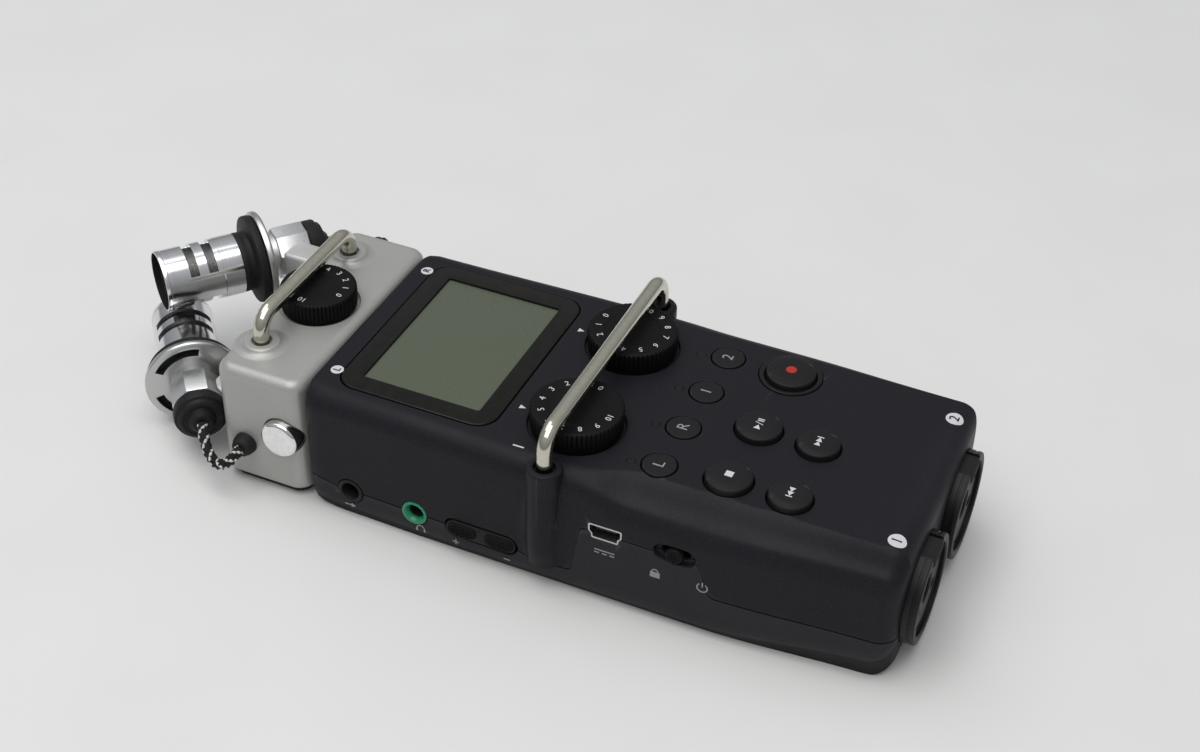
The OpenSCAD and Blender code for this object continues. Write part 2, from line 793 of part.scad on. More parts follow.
module jack_contacts() color("#c9a44c")
    for (s = [-1, 1], a = [-60, 60, 180])
        at(s * jack_x, -jack_back + seat_gap, jack_z)
            rotate([-90, 0, 0]) rotate(a) translate([0, pin_ring, 0]) cylinder(r = pin_r, h = pin_l);

module jack_release(x) color("#161617")
    at(x, -jack_front - tab_proud, jack_z + jack_r - tab_drop - tab_h / 2)
        translate([-tab_w / 2, 0, -tab_h / 2]) difference() {
            cube([tab_w, tab_l + tab_proud, tab_h]);
            for (i = [1:tab_ribs])
                translate([-1, i * tab_rib_pitch, tab_h - tab_gap]) cube([tab_w + 2, tab_rib_pitch / 2, 1]);
        }

module jack_release_1() jack_release(-jack_x);
module jack_release_2() jack_release(jack_x);

// Small jack: round nose in the side wall and a square body behind it
module mini_jack(side, d) at(side * (half_w(d) + mini_proud), -d, port_z) out_side(-side) difference() {
    union() {
        cylinder(r = port_r, h = mini_nose);
        translate([-mini_body_w / 2, -mini_body_h / 2, mini_nose - 1])
            cube([mini_body_w, mini_body_h, mini_body_l]);
    }
    translate([0, 0, -1]) cylinder(r = mini_plug_r, h = mini_depth + 1);
}

module phones_jack() color("#3f8f4a") mini_jack(-1, phones_at);
module small_jacks() color("#202022") for (side = [-1, 1]) mini_jack(side, line_at);

module usb_port() color("#b8b8b4")
    at(-half_w(usb_at) - 2 * face_gap, -usb_at - usb_w / 2, board_top + seat_gap) difference() {
        cube([usb_l, usb_w, usb_h]);
        translate([-1, usb_wall, usb_wall]) cube([usb_l - 1, usb_w - 2 * usb_wall, usb_h - 2 * usb_wall]);
    }

module main_board() color("#2f6b46") {
    difference() {
        at(-board_w / 2, -board_at - board_l, board_z + seat_gap) cube([board_w, board_l, board_t - seat_gap]);
        for (s = [-1, 1]) at(s * bar_x, -dial_at, 0) cylinder(r = bar_boss_r + well_gap, h = far);
        for (s = [-1, 1]) at(s * dial_x, -dial_at, 0) cylinder(r = shaft_r + well_gap, h = far);
    }
    for (x = chip_x)
        at(x, -window_at, board_top + chip_t / 2) cube([chip_w, chip_w, chip_t + eps], center = true);
    at(board_w / 2 - card_socket, -window_at - card_socket / 2 - card_socket_wall, board_top - eps)
    difference() {
        cube([card_socket, card_socket + 2 * card_socket_wall, card_socket_h]);
        translate([2 * card_socket_wall, card_socket_wall, card_slot_floor])
            cube([card_socket, card_socket, card_socket_h - 2 * card_slot_floor]);
    }
}

// Potentiometer: square body and round bushing, bored for the shaft
module pot(x, v, z0, bushing_top, body_w) at(x, v, z0) difference() {
    union() {
        translate([-body_w / 2, -body_w / 2, 0]) cube([body_w, body_w, pot_h]);
        cylinder(r = bushing_r, h = bushing_top - z0);
    }
    translate([0, 0, pot_floor]) cylinder(r = shaft_r + shaft_gap, h = far);
}

function button_places() = concat(
    [for (i = [0:3]) [track_x(i), track_at]],
    [[stop_x, transport_at], [play_x, transport_at], [record_x, transport_at],
     [stop_x, seek_at - seek_lean], [play_x, seek_at - seek_lean]]);

// Input dial potentiometers, button switches and the power switch on the board
module board_controls() color("#2a2a2d") {
    for (s = [-1, 1]) pot(s * dial_x, -dial_at, board_top + seat_gap, dial_floor - 2 * face_gap, pot_w);
    for (p = button_places())
        at(p[0] - switch_w / 2, -p[1] - switch_w / 2, board_top + seat_gap)
            cube([switch_w, switch_w, switch_h - seat_gap]);
    at(-half_w(power_at) + wall + power_switch_in, -power_at - power_switch_l / 2, board_top + seat_gap)
        cube([power_switch_w, power_switch_l, power_switch_h]);
}

module module_socket() color("#1b1b1d") at(0, 0, 0) difference() {
    translate([-socket_w / 2, -socket_l, socket_z]) cube([socket_w, socket_l - 0.1, socket_h]);
    translate([-plug_w / 2 - plug_gap, -plug_l - plug_gap, socket_z + (socket_h - plug_h) / 2 - plug_gap])
        cube([plug_w + 2 * plug_gap, plug_l + wall, plug_h + 2 * plug_gap]);
}

module battery_cells() color("#b9bcc0")
    for (s = [-1, 1])
        at(s * cell_x, -cell_at, cell_z) rotate([90, 0, 0]) {
            translate([0, 0, s > 0 ? 0 : cell_cap_h]) cylinder(r = cell_r, h = cell_l - cell_cap_h);
            cylinder(r = cell_cap_r, h = cell_l);
        }

// Plates on the end walls of the bay, with a round spring pad on each
module battery_contacts() color("#d0d0cc")
    for (s = [-1, 1], back = [0, 1])
        at(s * cell_x, -cell_at - back * cell_l, cell_z) rotate([back ? -90 : 90, 0, 0]) {
            translate([-contact_w / 2, -contact_w / 2, -contact_room - contact_t + seat_gap])
                cube([contact_w, contact_w, contact_t]);
            translate([0, 0, -contact_room]) cylinder(r = contact_pad_r, h = contact_room - face_gap);
        }

module speaker() color("#303033") at(0, -speaker_at, wall + seat_gap) cylinder(r = speaker_r, h = speaker_h);

module tripod_insert() color("#c7a552") at(0, -tripod_at, tripod_floor + seat_gap) difference() {
    cylinder(r = tripod_insert_r, h = tripod_depth + 1);
    translate([0, 0, -1]) cylinder(r = tripod_r, h = tripod_depth + 1);
}

module case_screws() color("#55555a")
    for (d = screw_at, s = [-1, 1])
        at(s * screw_x, -d, 0.3) difference() {
            union() {
                cylinder(r = screw_head_r, h = screw_head_h - 0.02);
                cylinder(r = screw_r, h = board_z - 4);
            }
            translate([0, 0, -0.5]) cylinder(r = 0.9, h = 1.2, $fn = 6);
        }

// Outline of a ribbed dial as a polygon
module rib_ring(r, count, depth)
    polygon([for (i = [0:2 * count - 1])
        let (a = 180 * i / count) (r - (i % 2) * depth) * [cos(a), sin(a)]]);

// Dial: plain skirt, ribbed side, sloped rim and a shallow dish on top
module dial(r, h, shaft_end) difference() {
    union() {
        cylinder(r = r - 0.2, h = 1.2);
        linear_extrude(height = h - 0.9) rib_ring(r, 60, 0.35);
        translate([0, 0, h - 0.9 - eps]) cylinder(r1 = r - 0.4, r2 = r - 1.1, h = 0.9 + eps);
    }
    translate([0, 0, -1]) cylinder(r = shaft_r + 0.02, h = shaft_end + 1);
    translate([0, 0, h - 0.4]) cylinder(r = r - 3.4, h = 2);
}

module gain_knob(x) color("#202023")
    at(x, -dial_at, dial_floor + dial_lift) dial(dial_r, dial_h, dial_h - dial_skin);

module gain_knob_1() gain_knob(-dial_x);
module gain_knob_2() gain_knob(dial_x);

module gain_shaft(x) color("#a9a9ad")
    at(x, -dial_at, board_top + shaft_lift)
        cylinder(r = shaft_r,
                 h = dial_floor + dial_lift + dial_h - dial_skin - face_gap - board_top - shaft_lift);

module gain_shaft_1() gain_shaft(-dial_x);
module gain_shaft_2() gain_shaft(dial_x);

// Push button revolved from its profile: domed cap, flange under the case wall and a stem.
// A stem that leans sideways is set off by stem_v to reach its switch.
module push_button(x, v, r, proud, crown, stem_v) {
    z_flange = top_in - flange_drop - flange_h;
    at(x, v, 0) rotate_extrude() polygon(concat(
        [[0, z_flange], [r + button_flange, z_flange], [r + button_flange, z_flange + flange_h],
         [r, z_flange + flange_h], [r, case_h + proud - crown]],
        [for (a = [15:15:90]) [r * cos(a), case_h + proud - crown + crown * sin(a)]]));
    at(x, v + stem_v, stem_end) cylinder(r = stem_r, h = z_flange - stem_end + eps);
}

module track_button(i) color("#2c2c31")
    push_button(track_x(i), -track_at, track_r, track_proud, track_proud, 0);

module track_button_l() track_button(0);
module track_button_r() track_button(1);
module track_button_1() track_button(2);
module track_button_2() track_button(3);
module record_button() color("#2c2c31") push_button(record_x, -transport_at, record_r, dome_h, dome_crown, 0);
module play_button() color("#2c2c31") push_button(play_x, -transport_at, play_r, dome_h, dome_crown, 0);
module stop_button() color("#2c2c31") push_button(stop_x, -transport_at, play_r, dome_h, dome_crown, 0);
module rewind_button() color("#2c2c31") push_button(stop_x, -seek_at, seek_r, dome_h, dome_crown, seek_lean);
module forward_button() color("#2c2c31") push_button(play_x, -seek_at, seek_r, dome_h, dome_crown, seek_lean);

// Rocker with two round pads, carried on a pivot behind the wall
module volume_rocker() color("#2b2b2e") at(-half_w(volume_at), -volume_at, port_z) {
    out_side(1) translate([0, 0, -rocker_proud])
        linear_extrude(height = rocker_t) rotate(90) slot_2d(volume_l, rocker_w);
    translate([pivot_in, 0, 0]) cylinder(r = pivot_r, h = rocker_w + 2 * pivot_lap, center = true);
    for (s = [-1, 1]) translate([0, s * (volume_l - pad_l - 1) / 2, 0])
        out_side(-1) translate([0, 0, -0.2]) linear_extrude(height = pad_t) rotate(90) slot_2d(pad_l, pad_w);
}

// Oval thumb piece in a recess, with a stem through its slot
module power_slider() color("#1d1d20") at(-half_w(power_at), -power_at, usb_z) {
    out_side(-1) translate([0, 0, -thumb_in])
        linear_extrude(height = thumb_t) rotate(90) slot_2d(thumb_l, thumb_w);
    out_side(1) linear_extrude(height = wall + 1) rotate(90) slot_2d(thumb_stem_l, thumb_stem_w);
}

module menu_button() color("#2b2b2e") at(half_w(phones_at) + menu_proud, -phones_at, port_z) out_side(-1) {
    cylinder(r = menu_r, h = menu_l);
    translate([0, 0, menu_proud + wall + 2 * port_gap]) cylinder(r = menu_r + menu_flange, h = menu_flange);
}

// Wheel-shaped jog lever that rocks about an upright pin
module scroll_switch() color("#2b2b2e") at(half_w(volume_at) - scroll_in, -volume_at, port_z) intersection() {
    cylinder(r = scroll_r, h = scroll_h, center = true);
    translate([scroll_in - scroll_r, -far / 2, -far / 2]) cube([far, far, far]);
}

// Turns a child's +Z along the card door's hinge line
module card_axis()
    at(half_w(window_at) - card_in - card_t / 2, -window_at, card_z - card_h / 2 + card_t / 2)
        rotate([90, 0, 0]) children();

// Door with a rounded hinge edge and a short pin at each end
module card_door() color("#3a3a42") {
    at(half_w(window_at) - card_in - card_t, -window_at - card_l / 2,
       card_z - card_h / 2 + card_t / 2 - card_lap)
        cube([card_t, card_l, card_h - card_t / 2 + card_lap]);
    card_axis() cylinder(r = card_hinge_r, h = card_l + card_lap, center = true);
    card_axis() cylinder(r = card_pin_r, h = card_l + 2 * card_pin_l, center = true);
}

// Outline of the module as a rounded rectangle, drawn in by e
function soft_ring(w, l, r, e, z) =
    [for (q = [0:3], i = [0:5])
        let (a = 90 * q + 18 * i,
             sx = q == 0 || q == 3 ? 1 : -1,
             sy = q < 2 ? 1 : -1,
             rr = max(r - e, 0.6))
        [sx * (w / 2 - e - rr) + rr * cos(a), sy * (l / 2 - e - rr) + rr * sin(a), z]];

module module_shell() {
    levels = concat(
        [[0.6, module_floor], [0, module_floor + 0.6]],
        [for (a = [0:18:90])
            [module_edge * (1 - cos(a)), module_h - module_edge + module_edge * sin(a)]]);
    difference() {
        skin([for (i = [len(levels) - 1:-1:0])
            soft_ring(module_w, module_l, module_r, levels[i][0], levels[i][1])]);
        translate([0, 0, (module_floor + module_top_in) / 2 - 1])
            cube([module_inner_w, module_inner_l, module_top_in - module_floor + 2], center = true);
    }
}

module module_housing() color("#a9a9ab") difference() {
    union() {
        at(0, module_back + module_l / 2, 0) module_shell();
        for (s = [-1, 1])
            at(s * mic_bar_x, mic_bar_at, module_top_in) cylinder(r = mic_boss_r, h = wall + mic_boss_h);
    }
    grommet_axis() translate([0, 0, -3 * wall]) cylinder(r = grommet_neck_r + face_gap, h = far);
    at(0, mic_dial_at, mic_well_floor) cylinder(r = mic_dial_r + well_gap, h = far);
    at(0, mic_dial_at, module_top_in - 1) cylinder(r = bushing_r + face_gap, h = far);
    for (s = [-1, 1]) {
        at(s * mic_bar_x, mic_bar_at, module_top_in - 1) cylinder(r = bar_r + face_gap, h = far);
        at(s * module_w / 2, release_at, release_z) out_side(s)
            cylinder(r = release_r + port_gap, h = 2 * release_room, center = true);
    }
    at(0, module_back, socket_z + socket_h / 2)
        cube([plug_w + 2 * socket_gap, 5 * wall, plug_h + 2 * socket_gap], center = true);
}

module module_base() color("#2a2a2c") {
    at(0, module_back + module_l / 2, module_floor - module_foot_h)
        linear_extrude(height = module_foot_h - seat_gap)
            rounded_rect(module_w - 2 * module_foot_in, module_l - 2 * module_foot_in, module_foot_r);
    for (x = [-1, 1], y = [-1, 1])
        at(x * module_post_x, module_back + module_l / 2 + y * module_post_y, module_floor - 0.1)
            cylinder(r = module_post_r, h = module_board_z - module_floor + 0.1 - seat_gap);
}

module module_board() color("#2f6b46") {
    at(0, module_back + module_l / 2, module_board_z)
        linear_extrude(height = module_board_t)
            square([module_inner_w - 2 * module_board_gap, module_inner_l - 1], center = true);
    color("#6f6f74")
        pot(0, mic_dial_at, module_board_z + module_board_t - eps, mic_well_floor - 2 * face_gap, mic_pot_w);
}

module module_plug() color("#1b1b1d") {
    at(-plug_w / 2, -plug_l, socket_z + (socket_h - plug_h) / 2)
        cube([plug_w, plug_l + module_back + wall + 1, plug_h]);
    at(-plug_w / 2 - plug_foot_w, module_back + wall + seat_gap, socket_z)
        cube([plug_w + 2 * plug_foot_w, plug_foot_l, socket_h]);
}

module mic_guard_bar() color("#c8c4bc")
    at(0, mic_bar_at, 0) bent_bar(mic_bar_x, mic_bar_top, module_top_in - mic_bar_seat);

// Puts a child's +Z along a microphone's axis, with zero where the two axes cross
module mic_axis(side)
    at(0, cross_at, side < 0 ? lower_mic_z : upper_mic_z)
        rotate([0, 0, side * mic_angle]) rotate([-90, 0, 0]) children();

module mic_arms() color("#a9a9ab")
    for (side = [-1, 1]) difference() {
        at(side * arm_x, module_front, side < 0 ? lower_mic_z : upper_mic_z)
            translate([-arm_w / 2, seat_gap, -arm_h / 2]) cube([arm_w, arm_l, arm_h]);
        mic_axis(side) translate([0, 0, hub_back - hub_l]) cylinder(r = hub_r + face_gap, h = 2 * hub_l);
        mic_axis(side) translate([0, 0, ring_back - well_gap]) cylinder(r = ring_r + well_gap, h = hub_l);
    }

// Rubber collar that grips the tube, with its wide disc
module mic_collars() color("#1e1e20")
    for (side = [-1, 1]) mic_axis(side) rotate_extrude()
        polygon([[0, disc_back + seat_gap], [disc_r, disc_back + seat_gap], [disc_r, tube_back - seat_gap],
                 [collar_r, tube_back - seat_gap], [collar_r, tube_back + collar_l - collar_chamfer],
                 [collar_r - collar_chamfer, tube_back + collar_l], [tube_r + face_gap, tube_back + collar_l],
                 [tube_r + face_gap, tube_back - seat_gap], [0, tube_back - seat_gap]]);

// Turned tube with two bands of windows above and below
module mic_tubes() color("#c9c9c6")
    for (side = [-1, 1]) mic_axis(side) difference() {
        translate([0, 0, tube_back]) cylinder(r = tube_r, h = tube_l);
        translate([0, 0, tube_back - tube_mouth]) cylinder(r = tube_r - tube_wall, h = tube_l + port_gap);
        translate([0, 0, tube_front - tube_mouth]) cylinder(r = tube_r - tube_lip, h = 3);
        for (band = [0, 1], a = [-90, 90])
            translate([0, 0, tube_front - vent_at - band * vent_pitch])
                rotate(a - vent_angle / 2) rotate_extrude(angle = vent_angle)
                    translate([tube_r - 1.5 * tube_wall, 0]) square([2 * tube_wall, vent_w]);
    }

module mic_meshes() color("#3a3a3c")
    for (side = [-1, 1]) mic_axis(side) translate([0, 0, tube_back + seat_gap])
        cylinder(r = tube_r - tube_wall - face_gap, h = tube_l - tube_mouth);

// Metal ring with three arc slots
module mic_rings() color("#c9c9c6")
    for (side = [-1, 1]) mic_axis(side) translate([0, 0, ring_back + seat_gap]) difference() {
        cylinder(r = ring_r, h = ring_t - 2 * seat_gap);
        for (a = [30, 150, 270])
            rotate(a) translate([0, 0, -1]) rotate_extrude(angle = ring_slot_angle)
                translate([hub_r + ring_slot_in, 0]) square([ring_slot_w, far]);
    }

// Eight-sided hub behind the ring
module mic_hubs() color("#b5b5b2")
    for (side = [-1, 1]) mic_axis(side)
        translate([0, 0, hub_back]) rotate(22.5) cylinder(r = hub_r, h = hub_l, $fn = 8);

// Rubber rear cap with a stepped neck round the lead
module mic_caps() color("#1e1e20")
    for (side = [-1, 1]) mic_axis(side) rotate_extrude()
        polygon([[0, hub_back - seat_gap], [cap_r, hub_back - seat_gap], [cap_r, hub_back - cap_neck],
                 [cap_tip_r, cap_back + cap_round], [cap_tip_r - cap_round, cap_back], [0, cap_back]]);

// Puts a child's +Z out of the housing at each grommet
module grommet_axis()
    for (side = [-1, 1])
        at(side * module_w / 2, grommet_at, (side < 0 ? lower_mic_z : upper_mic_z) + grommet_rise)
            out_side(side) children();

// Rubber grommet: cone outside the wall and a neck through it
module lead_grommets() color("#1e1e20") grommet_axis() {
    translate([0, 0, seat_gap])
        cylinder(r1 = grommet_base_r, r2 = grommet_tip_r, h = grommet_x - module_w / 2 - 2 * seat_gap);
    translate([0, 0, -wall]) cylinder(r = grommet_neck_r, h = wall + 1);
}

// Lead swept along its route
function spline(p, i, t) =
    let (a = p[max(i - 1, 0)], b = p[i], c = p[i + 1], e = p[min(i + 2, len(p) - 1)])
    0.5 * (2 * b + (c - a) * t + (2 * a - 5 * b + 4 * c - e) * t * t + (3 * b - a - 3 * c + e) * t * t * t);
lead_start = [cap_back * sin(mic_angle), cross_at + cap_back * cos(mic_angle), 0];
lead_points = concat([lead_start], lead_route);
lead_line = concat(
    [for (i = [0:len(lead_points) - 2], k = [0, 1]) spline(lead_points, i, k / 2)],
    [lead_end]);
function heading(p, i) =
    i == 0 ? [-sin(mic_angle), -cos(mic_angle), 0]
    : i == len(p) - 1 ? [1, 0, 0]
    : (p[i + 1] - p[i - 1]) / norm(p[i + 1] - p[i - 1]);

module lead(side) {
    rings = [for (i = [0:len(lead_line) - 1])
        let (h = heading(lead_line, i),
             across = cross(h, [0, 0, 1]) / norm(cross(h, [0, 0, 1])),
             up = cross(across, h))
        [for (k = [0:7]) lead_line[i] - lead_r * cos(45 * k) * across + lead_r * sin(45 * k) * up]];
    at(0, 0, side < 0 ? lower_mic_z : upper_mic_z) mirror([side > 0 ? 1 : 0, 0, 0]) skin(rings);
}

module mic_leads() color("#77777a") for (side = [-1, 1]) lead(side);

module mic_gain_knob() color("#202023")
    at(0, mic_dial_at, mic_well_floor + dial_lift) dial(mic_dial_r, dial_h, dial_h - dial_skin);

module mic_gain_shaft() color("#a9a9ad")
    at(0, mic_dial_at, mic_shaft_z)
        cylinder(r = shaft_r, h = mic_well_floor + dial_lift + dial_h - dial_skin - face_gap - mic_shaft_z);

// Round push button with an ear above and below that keeps it behind the wall
module release_button(side) color("#b7b3aa")
    at(side * (module_w / 2 + release_proud), release_at, release_z) out_side(-side) {
        translate([0, 0, release_edge]) cylinder(r = release_r, h = release_l);
        cylinder(r1 = release_r - release_taper, r2 = release_r, h = release_edge + eps);
        translate([0, 0, release_proud + wall + release_flange_gap])
            translate([0, 0, release_flange / 2])
                cube([2 * (release_r + release_flange), release_ear_w, release_flange], center = true);
    }

module release_button_left() release_button(-1);
module release_button_right() release_button(1);

upper_case();
lower_case();
guard_bar();
display_window();
lcd_module();
record_ring();
track_lamps();
combo_jack_1();
combo_jack_2();
jack_contacts();
phones_jack();
small_jacks();
usb_port();
main_board();
board_controls();
module_socket();
battery_cells();
battery_contacts();
speaker();
tripod_insert();
case_screws();
gain_knob_1();
gain_knob_2();
gain_shaft_1();
gain_shaft_2();
track_button_l();
track_button_r();
track_button_1();
track_button_2();
record_button();
play_button();
stop_button();
rewind_button();
forward_button();
jack_release_1();
jack_release_2();
volume_rocker();
power_slider();
menu_button();
scroll_switch();
card_door();
battery_cover();
module_housing();
module_base();
module_board();
module_plug();
mic_guard_bar();
mic_arms();
mic_collars();
mic_tubes();
mic_meshes();
mic_rings();
mic_hubs();
mic_caps();
mic_leads();
lead_grommets();
mic_gain_knob();
mic_gain_shaft();
release_button_left();
release_button_right();
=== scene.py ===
import math
import bpy
import bmesh
from mathutils import Matrix, Vector


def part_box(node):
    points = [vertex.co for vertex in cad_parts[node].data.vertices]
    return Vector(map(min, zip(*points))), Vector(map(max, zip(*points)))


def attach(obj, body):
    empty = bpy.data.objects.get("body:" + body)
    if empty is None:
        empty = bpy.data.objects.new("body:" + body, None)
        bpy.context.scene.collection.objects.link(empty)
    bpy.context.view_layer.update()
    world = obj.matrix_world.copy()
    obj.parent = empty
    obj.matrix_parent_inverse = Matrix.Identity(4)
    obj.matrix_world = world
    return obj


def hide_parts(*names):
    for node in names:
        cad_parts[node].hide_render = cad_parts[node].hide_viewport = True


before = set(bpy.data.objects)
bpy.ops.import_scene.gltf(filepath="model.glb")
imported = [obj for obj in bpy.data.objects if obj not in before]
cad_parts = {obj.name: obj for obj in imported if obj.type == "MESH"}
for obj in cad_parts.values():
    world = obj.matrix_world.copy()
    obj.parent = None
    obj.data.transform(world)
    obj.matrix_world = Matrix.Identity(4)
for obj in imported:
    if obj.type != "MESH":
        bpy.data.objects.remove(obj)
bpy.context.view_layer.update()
mm = 0.001
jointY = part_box("upper_case")[1].y / mm  # plane where the module meets the case
print("frame loaded, joint plane at", round(jointY, 2), "mm")


# mesh tools, all in millimetres, with y counted from the joint plane
def blendTo(a, b, t):
    return a + (b - a) * t * t * (3 - 2 * t)


def shareOf(v, a, b):
    return min(1, max(0, (v - a) / (b - a)))


def turnsOf(count):
    return [2 * math.pi * i / count for i in range(count)]


def quarter(count):
    return [math.pi / 2 * i / count for i in range(count + 1)]


def bent(a, b, c, t):  # on the curve from a to c that b pulls
    return (1 - t) ** 2 * a + 2 * t * (1 - t) * b + t * t * c


def skin(rings, loop=False):
    bm = bmesh.new()
    rows = [[bm.verts.new(p) for p in ring] for ring in rings]
    nextRows = rows[1:] + rows[:1] if loop else rows[1:]
    for a, b in zip(rows, nextRows):
        count = max(len(a), len(b))
        for i in range(count):
            j = (i + 1) % count
            corners = [a[i % len(a)], a[j % len(a)], b[j % len(b)], b[i % len(b)]]
            face = list(dict.fromkeys(corners))  # a pole doubles its corner
            if len(face) > 2:
                bm.faces.new(face)
    if not loop:
        for row in (rows[0], rows[-1]):
            if len(row) > 2:
                bm.faces.new(row)
    bmesh.ops.recalc_face_normals(bm, faces=bm.faces)
    return bm


def circle(r, z, count):
    return [(r * math.cos(a), r * math.sin(a), z) for a in turnsOf(count)]


def lathe(profile, count, loop=False):
    return skin([circle(r, z, count) if r else [(0, 0, z)] for r, z in profile], loop)


def rod(r, z0, z1, count):
    return lathe(((r, z0), (r, z1)), count)


def eased(points, radius, count, closed=False):
    out = []
    total = len(points)
    for i, p in enumerate(points):
        if not closed and i in (0, total - 1):
            out.append(tuple(p))
            continue
        before, here, after = Vector(points[i - 1]), Vector(p), Vector(points[(i + 1) % total])
        reach = min(radius, (before - here).length * 0.49, (after - here).length * 0.49)
        start = here + (before - here).normalized() * reach
        end = here + (after - here).normalized() * reach
        out += [tuple(bent(start, here, end, k / count)) for k in range(count + 1)]
    return out


def slabRing(w, l, r, inset, z, count):
    r = max(r - inset, 0.02)
    x, y = w / 2 - inset - r, l / 2 - inset - r
    out = []
    for q, (cx, cy) in enumerate(((x, y), (-x, y), (-x, -y), (x, -y))):
        for i in range(count + 1):
            a = math.pi / 2 * (q + i / count)
            out.append((cx + r * math.cos(a), cy + r * math.sin(a), z))
    return out


def slab(w, l, r, z0, z1, edge=0.0, foot=0.0, count=6):
    rings = []
    for a in quarter(4) if foot else (0,):
        rings.append(slabRing(w, l, r, foot * (1 - math.sin(a)), z0 + foot * (1 - math.cos(a)), count))
    for a in quarter(4) if edge else (0,):
        rings.append(slabRing(w, l, r, edge * (1 - math.cos(a)), z1 - edge + edge * math.sin(a), count))
    return skin(rings)


def prism(outline, z0, z1):
    return skin([[(x, y, z) for x, y in outline] for z in (z0, z1)])


def framesOf(line):  # each point of a line with two directions square to it
    points = [Vector(p) for p in line]
    side = None
    for i, p in enumerate(points):
        ahead = (points[min(i + 1, len(points) - 1)] - points[max(i - 1, 0)]).normalized()
        if side is None:
            side = ahead.orthogonal().normalized()
        side = (side - ahead * side.dot(ahead)).normalized()
        yield p, side, ahead.cross(side)


def tube(line, r, sides):
    rings = []
    for p, side, other in framesOf(line):
        rings.append([p + r * (math.cos(a) * side + math.sin(a) * other) for a in turnsOf(sides)])
    return skin(rings)


def at(x=0, v=0, z=0):
    return Matrix.Translation((x, v, z))


def turned(axis, degrees):
    return Matrix.Rotation(math.radians(degrees), 4, axis)


def outSide(side, x, v, z):
    return at(x, v, z) @ turned("Y", 90 * side)  # local +Z points out of that side


def moved(bm, matrix):
    bm.transform(matrix)
    return bm


def shifted(bm, x=0, v=0, z=0):
    return moved(bm, at(x, v, z))


def meshOf(bm, name="scrap"):
    mesh = bpy.data.meshes.new(name)
    bm.to_mesh(mesh)
    bm.free()
    return mesh


def linked(name, data):
    obj = bpy.data.objects.new(name, data)
    bpy.context.scene.collection.objects.link(obj)
    return obj


def evaluated(obj):  # its shape after modifiers
    mesh = bpy.data.meshes.new_from_object(obj.evaluated_get(bpy.context.evaluated_depsgraph_get()))
    bm = bmesh.new()
    bm.from_mesh(mesh)
    bpy.data.meshes.remove(mesh)
    return bm


def together(parts):
    whole = bmesh.new()
    for part in parts:
        mesh = meshOf(part)
        whole.from_mesh(mesh)
        bpy.data.meshes.remove(mesh)
    return whole


def carved(bm, cutters, operation="DIFFERENCE"):
    solid = linked("scrap", meshOf(bm))
    tools = [linked("scrap", meshOf(cutter)) for cutter in cutters]
    for tool in tools:
        cut = solid.modifiers.new("cut", "BOOLEAN")
        cut.operation = operation
        cut.solver = "EXACT"
        cut.object = tool
    out = evaluated(solid)
    for obj in [solid, *tools]:
        scrap = obj.data
        bpy.data.objects.remove(obj)
        bpy.data.meshes.remove(scrap)
    return out


def piece(name, bm, body, finish, cadName=None, matrix=None, sharp=32, weighted=False):
    bmesh.ops.remove_doubles(bm, verts=bm.verts, dist=1e-4)
    for face in bm.faces:
        face.smooth = True
    for edge in bm.edges:
        if len(edge.link_faces) == 2:
            edge.smooth = edge.calc_face_angle(math.pi) < math.radians(sharp)
    bm.transform(Matrix.Scale(mm, 4))
    obj = linked(name, meshOf(bm, name))
    place = at(0, jointY) @ (matrix or Matrix())
    place.translation *= mm
    obj.matrix_world = place
    obj.data.materials.append(finishes[finish])
    if weighted:
        even = obj.modifiers.new("even normals", "WEIGHTED_NORMAL")
        even.keep_sharp = True
    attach(obj, body)
    if cadName:
        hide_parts(cadName)
    return obj


def darkWhere(obj, inPaintedShade):  # painted shade: black on the faces that the test picks, where shade falls
    obj.data.materials.append(finishes["inside"])
    for face in obj.data.polygons:
        face.material_index = 1 if inPaintedShade(*(face.center / mm)) else 0


# materials
surface = {"broad": 70, "contrast": (0.35, 0.68), "edge": (0.53, 0.62), "highlightPatches": (0.1, 0.9), "brushed": 0.2}


def newFinish(name):
    finish = bpy.data.materials.new(name)
    finish.use_nodes = True
    return finish, finish.node_tree, finish.node_tree.nodes["Principled BSDF"]


def node(tree, kind, **values):
    made = tree.nodes.new("ShaderNode" + kind)
    for key, value in values.items():
        if hasattr(made, key):
            setattr(made, key, value)
        else:
            made.inputs[key].default_value = value
    return made


def placeOf(tree):
    return node(tree, "TexCoord").outputs["Object"]


def noiseOf(tree, scale, detail, where=None):
    made = node(tree, "TexNoise", Scale=scale, Detail=detail)
    tree.links.new(where or placeOf(tree), made.inputs["Vector"])
    return made.outputs[0]


def mapped(tree, value, low, high, fromLow=0.3, fromHigh=0.7):
    made = node(tree, "MapRange")
    for key, number in zip(("From Min", "From Max", "To Min", "To Max"), (fromLow, fromHigh, low, high)):
        made.inputs[key].default_value = number
    tree.links.new(value, made.inputs["Value"])
    return made.outputs[0]


def mixed(tree, factor, a, b):
    made = node(tree, "Mix", data_type="RGBA")
    for socket, value in ((made.inputs[6], a), (made.inputs[7], b)):
        if isinstance(value, tuple):
            socket.default_value = (*value, 1)
        else:
            tree.links.new(value, socket)
    tree.links.new(factor, made.inputs[0])
    return made.outputs[2]


def bumped(tree, shader, height, depth):
    made = node(tree, "Bump", Strength=1.0, Distance=depth * mm)
    tree.links.new(height, made.inputs["Height"])
    tree.links.new(made.outputs[0], shader.inputs["Normal"])


